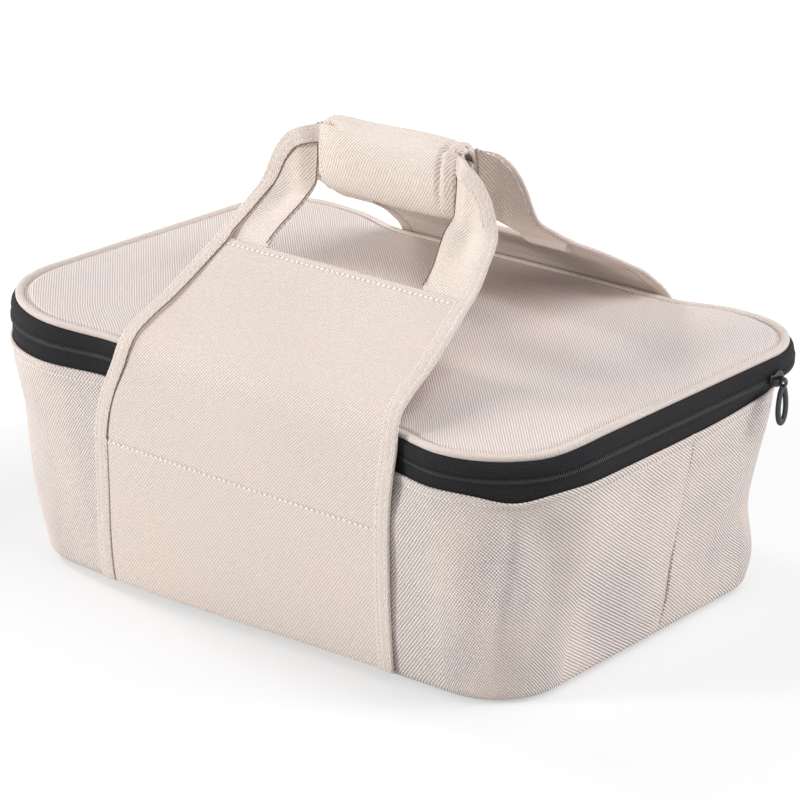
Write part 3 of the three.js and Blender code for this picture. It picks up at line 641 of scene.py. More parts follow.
def stand(p):
    # How the soft bag stands: the left foot drawn in and forward, the rear right corner caved in
    # under the zip, the rim a little up at the left end and down at the front right corner, where the
    # zip's lower edge dips to a point; each fades out smoothly.
    x, y, z = p[..., 0], p[..., 1], p[..., 2]

    def near(what):
        spot, reach = stance[what + "At"], stance[what + "Reach"]
        return stance[what] * np.exp(-((x - spot[0]) ** 2 + (y - spot[1]) ** 2) / reach ** 2)

    forward = stance["forward"] * ease(-x, -0.10, 0.10) * (1 - ease(z, 0.0, 0.085)) * ease(-y, 0.03, 0.115)
    inward = stance["inward"] * ease(-x, 0.08, 0.17) * np.clip(1 - z / 0.115, 0, 1)
    rise = stance["rise"] * ease(-x, 0.10, 0.19) * ease(z, 0.105, 0.138)
    cave = near("cave") * ease(z, 0.012, 0.055) * (1 - ease(z, 0.1215, 0.1305))
    droop = near("droop") * ease(z, 0.112, 0.139) * (1 - ease(y, -0.105, -0.066))
    dip = near("dip") * bell(z, 0.1195, 6 * mm)
    wayX, wayY = stance["caveWay"]
    return np.stack([x + inward + wayX * cave, y - forward + wayY * cave, z + rise - droop - dip], -1)


def tuck(z):
    # How far the wall has turned under at a height below the base roll: r - sqrt(r^2 - (r - z)^2).
    r = bag["roll"]
    d = np.clip(r - z, 0, r)
    return r - np.sqrt(r * r - d * d)


def wallPoint(turn, z, out):
    # Outer face of the wall: the outline moved out by the folds, less the turn at the base, settled.
    return settle(outline(turn, z, out + foldAt(turn, z) - tuck(z)))


def ringFlat(across, turn):
    # Flat place of cloth round the outline: length along the rim, and across the strip.
    return flatOf(girth(turn)[:, None], across)


def ringGrid(profile, turn):
    # A profile of (out, z) points carried round the outline.
    return settle(outline(turn[:, None], profile[None, :, 1], profile[None, :, 0]))


def ringRoll(name, profile, columns):
    # A closed section carried all the way round the outline.
    turn = np.linspace(0, 4, columns)
    grid = ringGrid(profile, turn)
    grid[-1] = grid[0]
    across = lengthsAlong(np.concatenate([profile, profile[:1]]))
    return weld(surface(name, grid, ringFlat(across, turn), closed=True, flip=True))


def ringStrip(name, profile, turn, thick):
    # A cloth strip with this profile, round part of the outline.
    flat = ringFlat(lengthsAlong(profile), turn)
    return thicken(surface(name, ringGrid(profile, turn), flat, flip=True), thick)


def diskGrid(rows, columns=220):
    # Rows of (share, out, z): outlines shrunk to a share, from the middle to the edge;
    # rows up in the lid take the outline of the rim.
    turn = np.linspace(0, 4, columns)
    share, out, z = np.asarray(rows).T[..., None]
    edge = outline(turn[None], np.full_like(z, bag["wallTop"]) if z[0, 0] > 0.1 else z, out)
    grid = np.stack([edge[..., 0] * share, edge[..., 1] * share, np.broadcast_to(z, edge.shape[:2])], -1)
    grid[:, -1] = grid[:, 0]
    return grid


def clothDisk(name, grid, shape, thick, flip=False):
    # A flat cloth cut to the outline, laid where shape puts it.
    return thicken(weld(surface(name, shape(grid), grid[..., :2], flip=flip)), thick)


def boxOf(node):
    # Lowest and highest corner of a solid.
    return [np.array(corner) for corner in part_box(node)]


# Walls

walls = {
    "thick": 1.5 * mm, "seam": 0.025, "columns": 260,
    "upper": 110.5 * mm, "stitch": 114.8 * mm, "top": 119.6 * mm,
}


def wallProfile():
    # Heights and outward steps from the base roll to the fold under the zip, with the topstitch groove.
    low = bag["roll"] * (1 - np.cos(np.linspace(0.12, np.pi / 2, 9)))
    mid = np.linspace(bag["roll"], walls["upper"], 46)[1:]
    high = np.linspace(walls["upper"], walls["top"], 16)[1:]
    z = np.concatenate([low, mid, high])
    groove = -0.55 * mm * bell(z, walls["stitch"], 0.9 * mm)
    lip = 0.45 * mm * ease(z, 0.1158, 0.1180)
    z = np.concatenate([z, [walls["top"] + 0.5 * mm, walls["top"] + 0.6 * mm]])
    step = np.concatenate([groove + lip, [0.0, -0.8 * mm]])
    return z, step


def makeWall(node, start, end):
    # One half of the wall: the profile's steps carried round the outline between the two end seams.
    z, step = wallProfile()
    turn = np.linspace(start, end, walls["columns"])
    t, h = np.meshgrid(turn, z)
    # the end seams are pressed in a little
    seam = -0.45 * mm * (bell(t, start, 0.006) + bell(t, end, 0.006))
    grid = wallPoint(t, h, step[:, None] + seam)
    piece = thicken(surface(node + "_cloth", grid, flatOf(girth(turn), h)), walls["thick"])
    # grain picks the second set of twill lines towards the two ends
    grain = piece.data.attributes.new("grain", "FLOAT", "POINT")
    nearEnd = 1 - np.abs((t + 1) % 2 - 1) / 0.5
    grain.data.foreach_set("value", ease(nearEnd, -0.05, 0.45).astype(np.float32).ravel())
    dress(piece, wallTwill, [node], "tub")
    np.ptp(girth(turn))


makeWall("front_wall", 2 - walls["seam"], 4 + walls["seam"])
makeWall("rear_wall", walls["seam"], 2 - walls["seam"])


# Base, pads and linings

def makeBase():
    # Flat base cloth: the outline shrunk by the base roll, sewn to the walls all round.
    shares = np.concatenate([np.linspace(0, 0.9, 8), np.linspace(0.93, 1, 6)])
    grid = diskGrid([(s, -bag["roll"] + 1.2 * mm, 0.25 * mm) for s in shares])
    piece = clothDisk("base_cloth", grid, stand, 1.4 * mm)
    dress(piece, canvas, ["base_panel"], "tub")


pads = {"baseInset": -8.4 * mm, "lidInset": -11 * mm, "crown": 0.2 * mm, "lidDrop": 1.5 * mm}


def makePad(name, node, inset, body, finish, drop=0):
    # A flat pad or board with a slightly crowned top and rounded edge; drop lowers its top.
    low, high = [corner[2] for corner in boxOf(node)]
    high = high - drop
    half = (high - low) / 2
    shares = np.linspace(0, 0.97, 7)
    rows = [(s, inset, low) for s in shares]
    rows += [(1.0, inset - half + half * math.sin(a), low + half - half * math.cos(a))
             for a in np.linspace(0, np.pi, 9)]
    rows += [(s, inset, high - pads["crown"] + pads["crown"] * (1 - s)) for s in shares[::-1]]
    grid = diskGrid(rows, 140)
    return dress(weld(surface(name, stand(grid), grid[..., :2], flip=True)), finish, [node], body)


makeBase()
makePad("base_board_sheet", "base_board", pads["baseInset"], "tub", fibreBoard)
makePad("base_foam_pad", "base_foam", pads["baseInset"], "tub", foamCells)
lidPad = makePad("lid_foam_pad", "lid_foam", pads["lidInset"], "lid", foamCells, pads["lidDrop"])


def makeWallFoam():
    # Foam ring behind the wall cloth: inner and outer face follow the wall.
    z = np.linspace(13 * mm, 117 * mm, 24)
    turn = np.linspace(0, 4, 240)
    outer = wallPoint(turn[:, None], z[None], -2.1 * mm)
    inner = wallPoint(turn[:, None], z[None, ::-1], -6.2 * mm)
    grid = np.concatenate([outer, inner], 1)
    grid[-1] = grid[0]
    flat = ringFlat(np.arange(grid.shape[1] + 1) * 4 * mm, turn)
    piece = weld(surface("wall_foam_pad", grid, flat, closed=True, flip=True))
    dress(piece, foamCells, ["wall_foam"], "tub")


linings = {
    "thick": 0.7 * mm, "wallOut": -7.6 * mm, "wave": 0.6 * mm, "floorOut": -7.3 * mm, "floorWave": 0.35 * mm,
}


def makeLinings():
    # Wall lining: a loose cloth ring with soft upright waves; floor lining: a flat cloth with a raised edge.
    z = np.concatenate([np.linspace(11.0 * mm, 112 * mm, 40), np.linspace(113 * mm, 119.3 * mm, 6)])
    turn = np.linspace(0, 4, 320)
    wave = linings["wave"] * np.sin(turn[:, None] * 2 * np.pi * 9) * np.sin(np.pi * z[None] / 0.12)
    grid = wallPoint(turn[:, None], z[None], linings["wallOut"] - wave)
    grid[-1] = grid[0]
    piece = thicken(weld(surface("wall_lining_cloth", grid, ringFlat(z, turn))), linings["thick"])
    dress(piece, liningCloth, ["wall_lining"], "tub")
    share = np.concatenate([np.linspace(0, 0.92, 14), np.linspace(0.94, 1, 8)])
    top = boxOf("base_lining")[1][2] - 0.4 * mm
    level = (top + linings["floorWave"] * np.cos(9 * share) * (1 - share)
             + 1.6 * mm * np.maximum(share - 0.97, 0) / 0.03)
    grid = diskGrid(np.stack([share, np.full_like(share, linings["floorOut"]), level], 1))
    piece = clothDisk("floor_lining_cloth", grid, stand, linings["thick"], flip=True)
    dress(piece, liningCloth, ["base_lining"], "tub")


# section of the tape that binds the rim: out and height in mm
bindingSection = np.array([
    (-3.4, 119.9), (-3.3, 121.6), (-4.0, 122.6), (-5.6, 122.8), (-7.4, 122.6),
    (-8.2, 121.6), (-8.3, 119.0), (-8.2, 113.0), (-7.8, 112.6), (-7.75, 119.6)]) * mm

makeWallFoam()
makeLinings()
dress(ringRoll("rim_binding_tape", bindingSection, 300), hemTwill, ["rim_binding"], "tub")
print("tub made")


# Zip: woven tapes, coil teeth, stops, slider and pull

chain = 130.5 * mm
zipWork = {
    "start": 1.60, "end": 4.40, "overlap": 0.025, "thick": 0.8 * mm,
    "pitch": 1.35 * mm, "tooth": 0.85 * mm, "reach": 2.1 * mm,
    "stops": {"zip_stop_right": 4.401, "zip_stop_left": 1.599}, "stopSize": (3.4 * mm, 5.4 * mm, 2.6 * mm),
}


def makeTape(node, profile, body):
    # A woven strip round the outline; fine ribs run along it.
    dense = smoothLine(profile, 26)
    dense[:, 0] += 0.10 * mm * np.sin(lengthsAlong(dense) * 2 * np.pi / (2.3 * mm))
    turn = np.linspace(zipWork["start"] - zipWork["overlap"], zipWork["end"] + zipWork["overlap"], 340)
    piece = ringStrip(node + "_weave", dense, turn, zipWork["thick"])
    dress(piece, tapeWeave, [node], body)
    np.ptp(girth(turn))


makeTape("zip_tape_lower", [(-2.2 * mm, 112.5 * mm), (-1.6 * mm, 118 * mm), (-1.2 * mm, 123 * mm),
                            (-1.3 * mm, chain - 0.5 * mm)], "tub")
makeTape("zip_tape_upper", [(-1.3 * mm, chain + 0.5 * mm), (-0.9 * mm, 134 * mm), (-1.0 * mm, 137.6 * mm),
                            (-2.2 * mm, 140.2 * mm), (-5.0 * mm, 141.2 * mm)], "lid")


def makeCoil(node, sign, phase, body):
    # One bent loop of coil per pitch: from the tape, out over the chain line and back, as a 4-sided tube.
    table = np.linspace(zipWork["start"], zipWork["end"], 2000)
    run = girth(table)
    place = run[0] + np.arange(phase * zipWork["pitch"], run[-1] - run[0], zipWork["pitch"])
    turn = np.interp(place, run, table)[:, None]
    bend = np.linspace(0, np.pi, 6)
    height = chain + sign * (zipWork["reach"] / 2 - 0.5 * mm + np.cos(bend) * zipWork["reach"] / 2)
    out = -1.5 * mm + 1.0 * mm * np.sin(bend) ** 0.7
    centre = settle(outline(turn, height[None], out[None]))
    alongWay = unit(settle(outline(turn + 0.002, height[None], out[None])) - centre)
    outWay = unit(np.cross(np.gradient(centre, axis=1), alongWay))
    corner = np.array([(-1, -0.5), (-0.6, 0.5), (0.6, 0.5), (1, -0.5)]) * zipWork["tooth"] / 2
    points = (centre[:, :, None] + alongWay[:, :, None] * corner[None, None, :, :1]
              + outWay[:, :, None] * corner[None, None, :, 1:] * 1.3)
    dress(outward(tubes(node + "_teeth", points)), coilNylon, [node], body)


def roundedBlock(name, centre, ways, size, power=4.0):
    # A soft-edged block: superellipsoid rows from end to end; ways point along, up and out.
    v = np.linspace(-np.pi / 2, np.pi / 2, 13)[:, None]
    w = np.linspace(0, 2 * np.pi, 24, endpoint=False)[None]
    curve = lambda value: np.sign(value) * np.abs(value) ** (2 / power)
    x = curve(np.sin(v)) * np.ones_like(w) * size[0] / 2
    y = curve(np.cos(v)) * curve(np.cos(w)) * size[1] / 2
    z = curve(np.cos(v)) * curve(np.sin(w)) * size[2] / 2
    grid = centre + x[..., None] * ways[0] + y[..., None] * ways[1] + z[..., None] * ways[2]
    flat = flatOf(np.arange(25) * mm, np.arange(13)[:, None] * mm)
    return outward(weld(surface(name, grid, flat, closed=True)))


def makeStops():
    # Two small moulded stops that close the chain at both ends.
    for node, turn in zipWork["stops"].items():
        place = settle(outline(turn, chain, -0.6 * mm))
        step = unit(settle(outline(turn + 0.01, chain, -0.6 * mm)) - place)
        up = np.array([0, 0, 1.0])
        piece = roundedBlock(node + "_clip", place, (step, up, np.cross(step, up)), zipWork["stopSize"], 3.4)
        dress(piece, coilNylon, [node], "tub")


slider = {
    "half": 4.6 * mm, "waist": 1.3 * mm, "waistAt": -0.35, "reach": 6.4 * mm, "thick": 0.62 * mm,
    "plates": ((1.05 * mm, 1.0), (-4.4 * mm, 0.96)),  # place outwards and share of the width
    "post": (2.2 * mm, 1.0 * mm, 6.0 * mm), "postOut": -1.6 * mm, "postAcross": 3.9 * mm,
    "bridge": (1.3 * mm, 0.5 * mm), "bridgeOut": 1.4 * mm, "bridgeRise": 3.0 * mm, "bridgeHalf": 4.2 * mm,
}


def makeSlider():
    # Slider: a waisted outer plate, an inner plate, a post between them and a bowed bridge for the pull.
    low, high = boxOf("zip_slider")
    middle = (low + high) / 2
    middle[0] = bag["rimLength"] / 2
    outWay, acrossWay, upWay = np.eye(3)
    rows = 15
    v = np.linspace(-1, 1, rows)
    parts = []
    for shift, wide in slider["plates"]:
        half = slider["half"] - slider["waist"] * bell(v, slider["waistAt"], 0.4)
        half = half * (1 - np.abs(v) ** 5) ** 0.4 * wide
        section = np.stack([roundSection(max(h, 0.25 * mm), slider["thick"], 20, 3.2) for h in half])
        path = middle + outWay * shift + acrossWay * v[:, None] * slider["reach"]
        parts.append(sweep("plate", path, same(upWay, rows), same(outWay, rows), section))
    place = middle + outWay * slider["postOut"] + acrossWay * slider["postAcross"]
    parts.append(roundedBlock("post", place, (acrossWay, upWay, outWay), slider["post"]))
    bow = np.linspace(0, np.pi, rows)[:, None]
    path = middle + outWay * (slider["bridgeOut"] + slider["bridgeRise"] * np.sin(bow) ** 0.8)
    path = path + acrossWay * slider["bridgeHalf"] * np.cos(bow)
    parts.append(sweep("bridge", path, same(upWay, rows), np.cross(along(path), upWay),
                       roundSection(*slider["bridge"], 14)))
    dress(joined("zip_slider_body", parts), sliderLacquer, ["zip_slider"], "zip_slider")


def makeRing(name, path, faceWay, section, faceFirst):
    # A closed ring of wire along a loop whose last point is its first; faceFirst lays the section's
    # width along the ring's axis, otherwise its thickness.
    way = along(path)
    way[0] = way[-1] = unit(path[1] - path[-2])
    face = same(faceWay, len(path))
    ways = (face, np.cross(way, face)) if faceFirst else (np.cross(way, face), face)
    return weld(sweep(name, path, *ways, section, closed=True))


pull = {
    "top": 3.4 * mm, "bottom": 1.0 * mm, "half": 3.5 * mm, "flare": 0.7 * mm, "short": 1.2 * mm,
    "drop": 1.0 * mm, "wire": (1.9 * mm, 1.05 * mm),
    "eyeWire": (1.5 * mm, 0.55 * mm), "eyeHalf": (1.9 * mm, 2.3 * mm), "eyeLift": 0.6 * mm,
}


def makePull():
    # Pull: an eye round the bridge and a flat oval ring hanging from it, wider at its foot.
    low, high = boxOf("zip_pull")
    x, y = (low[0] + high[0]) / 2, (low[1] + high[1]) / 2
    top, bottom = high[2] - pull["top"], low[2] + pull["bottom"]
    a = np.linspace(0, 2 * np.pi, 49)
    wide = pull["half"] - pull["flare"] * np.cos(a)
    tall = (top - bottom) / 2 - pull["short"]
    level = (top + bottom) / 2 - pull["drop"]
    path = np.stack([np.full_like(a, x), y + wide * np.sin(a), level + tall * np.cos(a)], 1)
    ring = makeRing("ring", path, (1, 0, 0), roundSection(*pull["wire"], 16), False)
    a = np.linspace(0, 2 * np.pi, 25)
    deep, tall = pull["eyeHalf"]
    path = np.stack([x + deep * np.sin(a), np.full_like(a, y), top + pull["eyeLift"] + tall * np.cos(a)], 1)
    eye = makeRing("eye", path, (0, 1, 0), roundSection(*pull["eyeWire"], 12), True)
    dress(joined("zip_pull_ring", [ring, eye]), sliderLacquer, ["zip_pull"], "zip_pull")


hingeWork = {
    "start": 0.412, "end": 1.588, "thick": 1.1 * mm,
    # out and height in mm
    "profile": [(-1.9, 112.5), (-0.9, 119), (0.0, 126), (0.2, 131), (-0.1, 135.5), (-1.2, 138.9),
                (-4.4, 141.2)],
}


def makeHingeStrip():
    # Cloth that stays sewn across the rear: its profile runs from the wall up to the lid past the hinge line;
    # it is baked in place, on no body.
    profile = smoothLine(np.array(hingeWork["profile"]) * mm, 34)
    turn = np.linspace(hingeWork["start"], hingeWork["end"], 170)
    piece = ringStrip("hinge_cloth", profile, turn, hingeWork["thick"])
    dress(piece, canvas, ["hinge_strip", "lid_rear_edge"])
    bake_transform(piece)
    np.ptp(girth(turn))


makeCoil("zip_coil_lower", -1, 0.25, "tub")
makeCoil("zip_coil_upper", 1, 0.75, "lid")
makeStops()
makeSlider()
makePull()
makeHingeStrip()
print("zip and hinge made")


# Lid: rolled welt, crowned panel and lining

lidWork = {
    "edge": -8.0 * mm, "seam": 141.6 * mm, "step": 1.8 * mm, "crown": 3.2 * mm, "thick": 1.5 * mm,
    "weltOut": -5.9 * mm, "weltHeight": 142.1 * mm, "liningOut": -12.2 * mm,
}


def makeWelt():
    # Rolled edge: a superellipse roll carried round the outline.
    profile = roundSection(2.4 * mm, 1.75 * mm, 24, 2.8) + (lidWork["weltOut"], lidWork["weltHeight"])
    dress(ringRoll("lid_welt_roll", profile, 360), hemTwill, ["lid_welt"], "lid")


def lidHeight(share, x, y):
    # Crown falling to the seam groove, with slow cloth waves.
    edge = ease(1 - share, 0.0, 0.025)
    crown = lidWork["crown"] * (1 - share ** 3)
    wave = 0.6 * mm * np.sin(x * 31 + y * 17) + 0.5 * mm * np.sin(y * 44 - x * 13)
    wave = wave * (1 - ease(share, 0.75, 0.98))
    return lidWork["seam"] + (lidWork["step"] + crown + wave) * edge


def makeLid():
    # Panel: outlines shrunk to the middle, lifted by lidHeight; lining: the same, flat but for a slow wave.
    share = np.concatenate([np.linspace(0, 0.86, 46), np.linspace(0.87, 1, 34)])
    grid = diskGrid([(s, lidWork["edge"], lidWork["seam"]) for s in share], 300)
    grid[..., 2] = lidHeight(share[:, None], grid[..., 0], grid[..., 1])
    piece = clothDisk("lid_panel_cloth", grid, settle, lidWork["thick"], flip=True)
    dress(piece, lidTwill, ["lid_panel"], "lid")
    share = np.linspace(0, 1, 24)
    level = boxOf("lid_lining")[0][2] + 0.2 * mm
    grid = diskGrid([(s, lidWork["liningOut"], level) for s in share])
    grid[..., 2] -= 0.3 * mm * np.sin(40 * grid[..., 0]) * (1 - share[:, None])
    piece = clothDisk("lid_lining_cloth", grid, settle, linings["thick"])
    dress(piece, liningCloth, ["lid_lining"], "lid")


makeWelt()
makeLid()
print("lid made")


# Slings: sewn to the wall below the stitch line, free above it, up to the hand hole and the arms

sling = {
    "stitchLine": 88 * mm, "stitchDrop": 1.2 * mm, "holeStitch": 3.4 * mm, "foot": 4 * mm,
    "hem": 10 * mm, "hemThick": 2.7 * mm, "cloth": 1.5 * mm, "armThick": 2.2 * mm, "freeThick": 1.1 * mm,
    "hole": 55 * mm, "gripHalf": 48.7 * mm, "bendFoot": {-1: 0.1363, 1: 0.1336},
    # half width with the hems, by height
    "half": [(0.0, 0.1020), (0.045, 0.1040), (0.088, 0.1050), (0.115, 0.1027), (0.140, 0.0985),
             (0.162, 0.0940), (0.1825, 0.0900)],
    # how far each sling leans sideways as it hangs, by height: -1 front, 1 rear
    "lean": {-1: [(0.0, 0.0060), (0.050, 0.0065), (0.088, 0.0090), (0.115, 0.0140), (0.138, 0.0185),
                  (0.160, 0.0140), (0.1825, 0.0085), (0.205, 0.0060), (0.255, 0.0060)],
             1: [(0.0, 0.0040), (0.088, 0.0), (0.140, -0.0030), (0.170, -0.0010), (0.200, 0.0040),
                 (0.230, 0.0060), (0.255, 0.0060)]},
    # inner face, distance from the middle plane and height
    "path": [(0.1346, 0.0880), (0.1355, 0.1044), (0.1339, 0.1200), (0.1322, 0.1305), (0.1298, 0.1400),
             (0.1242, 0.1472), (0.1145, 0.1524), (0.0952, 0.1602), (0.0745, 0.1699), (0.0500, 0.1825)],
    "armPath": [(0.0590, 0.1776), (0.0500, 0.1825), (0.0299, 0.1967), (0.0165, 0.2095), (0.0138, 0.2230),
                (0.0131, 0.2350), (0.0117, 0.2460)],
    # outer contour of an arm, across and height, over the shoulder into the grip
    "shoulder": [(0.0900, 0.1760), (0.0900, 0.1825), (0.0857, 0.2000), (0.0805, 0.2170), (0.0745, 0.2300),
                 (0.0655, 0.2395), (0.0555, 0.2438), (0.0430, 0.2450)],
}

freePath = smoothLine(sling["path"], 90)
freeWay = along(freePath)
freeRun = lengthsAlong(freePath)
armPath = smoothLine(sling["armPath"], 90)
armWay = along(armPath)
armRun = lengthsAlong(armPath)
contour = smoothLine(sling["shoulder"], 160)


def toWorld(side, x, forth, z):
    # Sling places (across seen from outside, distance from the middle, height) to the bag's frame;
    # the rear one is drawn up a little tighter.
    x, forth, z = np.broadcast_arrays(x, forth, z)
    taut = 6.5 * mm * np.sin(np.pi * np.clip((0.130 - forth) / 0.115, 0, 1))
    taut = (side > 0) * (taut - 2.4 * mm * bell(forth, 0.123, 0.011)) * ease(z, 0.135, 0.145)
    return np.stack([-side * x + lookUp(sling["lean"][side], z), side * forth, z + taut], -1)


def wallFace(side, x, z):
    # Distance of the wall's long side from the middle plane: b - R + sqrt(R^2 - x^2),
    # turned under at the base.
    fore, back = levelAt(z)[1:3]
    big = bag["sideRadius"]
    return (fore if side < 0 else back) - big + np.sqrt(big * big - x * x) - tuck(z)


def sewnPlace(side, x, z, lift):
    # On the wall, with the groove that the stitch line presses in.
    lift = lift - 0.45 * mm * bell(z, sling["stitchLine"] - sling["stitchDrop"], 1.3 * mm)
    return stand(toWorld(side, x, wallFace(side, x, z) + 0.35 * mm + lift, z))


def freePlace(side, x, s, lift):
    # Along the free side path: a point, moved out along the path's normal; bowed like the wall at the foot.
    run = s * freeRun[-1]
    forth, z = sample(run, freeRun, freePath)
    wayForth, wayUp = sample(run, freeRun, freeWay)
    bow = x * x / (2 * bag["sideRadius"]) * (1 - ease(s, 0.05, 0.35))
    fore, back = levelAt(z)[1:3]
    foot = 0 if side < 0 else fore - back
    return toWorld(side, x, forth + lift * wayUp - bow - foot, z - lift * wayForth)


def armPlace(side, x, z, lift):
    # The same for the arms, found by height along their own side path; they duck under the ends of the wrap.
    run = np.interp(z, armPath[:, 1], armRun)
    duck = 5.5 * mm * (1 - ease(np.abs(x), 47 * mm, 60 * mm)) * ease(z, 0.204, 0.214)
    forth, z = sample(run, armRun, armPath)
    wayForth, wayUp = sample(run, armRun, armWay)
    return toWorld(side, x, forth + lift * wayUp - duck, z - lift * wayForth)


def halfAt(z):
    # Half width of a sling, with its hems, at a height.
    return lookUp(sling["half"], z)


def innerHalf(z):
    # Half width of the cloth, which ends 1 mm under the hems.
    return halfAt(z) - sling["hem"] + 1.0 * mm


def freeHeight(s):
    # Height on the free side path at a share of its length.
    return np.interp(s * freeRun[-1], freeRun, freePath[:, 1])


def holeEdge(z):
    # Inner edge of the arms: the hole's side, then the end of the grip.
    return sling["hole"] - (sling["hole"] - sling["gripHalf"]) * ease(z, 0.186, 0.208)


def panelLift(s, x):
    # Outer face of the free cloth: stitched groove under the hand hole and a slow sag between the hems.
    back = (1 - s) * freeRun[-1]
    groove = -0.6 * mm * bell(back, sling["holeStitch"], 1.2 * mm)
    foot = -0.45 * mm * bell(s * freeRun[-1], 0.2 * mm, 1.4 * mm)
    sag = -1.6 * mm * ease(s, 0.25, 0.5) * (1 - ease(s, 0.8, 0.97))
    sag = sag * np.cos(np.clip(x / 0.09, -1, 1) * np.pi / 2)
    ripple = 0.5 * mm * np.sin(x * 52 + s * 5) * ease(s, 0.06, 0.2) * (1 - ease(s, 0.85, 1))
    return sling["cloth"] + groove + foot + sag + ripple


def makePanel(name, side, bendIt):
    # The sewn cloth and the free cloth above it; the free one is folded back at the hand hole.
    cloth = sling["cloth"]
    w = np.linspace(-1, 1, 60)[None]
    z = np.concatenate([np.linspace(sling["foot"], 12 * mm, 6), np.linspace(13 * mm, 84 * mm, 26),
                        np.linspace(85 * mm, sling["stitchLine"], 8)])[:, None]
    x = w * innerHalf(z)
    piece = thicken(surface(name + "_sling_sewn_cloth", sewnPlace(side, x, z, cloth), flatOf(x, z)), cloth)
    dress(piece, canvas, [name + "_sling_sewn"], "tub")
    s = np.concatenate([np.linspace(0, 0.04, 8), np.linspace(0.05, 0.93, 60), np.linspace(0.935, 1, 18)])
    s = s[:, None]
    x = w * innerHalf(freeHeight(s))
    run = sling["stitchLine"] + s * freeRun[-1]
    face = freePlace(side, x, s, panelLift(s, x))
    # the fold goes round a half circle past the edge and a short way back behind it
    edge = x[-1:]
    radius = cloth
    turn = np.linspace(0, np.pi, 9)[1:, None]
    upWay = np.array([0, side * freeWay[-1, 0], freeWay[-1, 1]])
    fold = freePlace(side, edge, np.ones_like(turn), cloth - radius * (1 - np.cos(turn)))
    fold = fold + radius * np.sin(turn)[..., None] * upWay
    back = freePlace(side, edge, np.linspace(0.988, 0.93, 5)[:, None], cloth - 2 * radius)
    more = run[-1] + np.cumsum([0.6 * mm] * len(fold) + [1.9 * mm] * len(back))[:, None]
    grid = np.concatenate([face, fold, back])
    flat = np.concatenate([flatOf(x, run), flatOf(edge, more)])
    piece = thicken(surface(name + "_sling_free_cloth", grid, flat), sling["freeThick"])
    dress(piece, canvas, [name + "_sling_panel"])
    bendIt(piece)
    # thread across the stitch line and along the folded edge of the hand hole
    span = np.linspace(-0.985, 0.985, 140)
    level = sling["stitchLine"] - sling["stitchDrop"]
    path = sewnPlace(side, span * innerHalf(level), level, cloth + 0.1 * mm)
    sewRow(name + "_stitch_line", path, same((0, side, 0), 140), threadLook, "tub")
    s = 1 - sling["holeStitch"] / freeRun[-1]
    x = span * innerHalf(freeHeight(s))
    path = freePlace(side, x, s, panelLift(s, x) + 0.15 * mm)
    out = unit(freePlace(side, x, s, panelLift(s, x) + 2 * mm) - path)
    bendIt(sewRow(name + "_hole_thread", path, out, threadLook))


def makeArm(name, side, hand):
    # Flat cloth beside the hand hole, from behind the folded edge up over the shoulder to the grip's end.
    label = f"{name}_arm_{'left' if hand < 0 else 'right'}"
    z = np.concatenate([np.linspace(0.1785, 0.236, 44), np.linspace(0.237, 0.2446, 16)])[:, None]
    k = np.linspace(0, 1, 26)[None]
    tail = 1 - ease(z, 0.1800, 0.1885)  # the part that hides behind the folded edge
    outer = np.interp(z, contour[:, 1], contour[:, 0]) - 2.5 * mm - 7 * mm * tail
    inside = np.minimum(holeEdge(z), outer - 0.5 * mm)
    x = inside + (outer - inside) * k
    dent = -2.2 * mm * bell(k, 0.45, 0.22) * bell(z, 0.2065, 0.012)
    dent = dent + 0.8 * mm * bell(k, 0.8, 0.2) * bell(z, 0.21, 0.02)
    grid = armPlace(side, hand * x, z, sling["cloth"] - 2.6 * mm * tail + dent)
    flat = flatOf(hand * x, np.interp(z, armPath[:, 1], armRun) + 0.24)
    piece = thicken(surface(label + "_cloth", grid, flat, flip=hand < 0), sling["armThick"])
    dress(piece, gripTwillPaintedLight, [label], name + "_handle")
    # a dark line along the hole's edge: painted shade of the gap beside the arm's inner edge
    rise = np.linspace(0.1845, 0.2425, 60)
    x = hand * holeEdge(rise)
    edge = armPlace(side, x + hand * 0.2 * mm, rise, sling["cloth"] + 0.05 * mm)
    out = unit(armPlace(side, x, rise, 3 * mm) - armPlace(side, x, rise, 0))
    gapShadeLine(label + "_seam", edge, out, 0.3 * mm, name + "_handle")


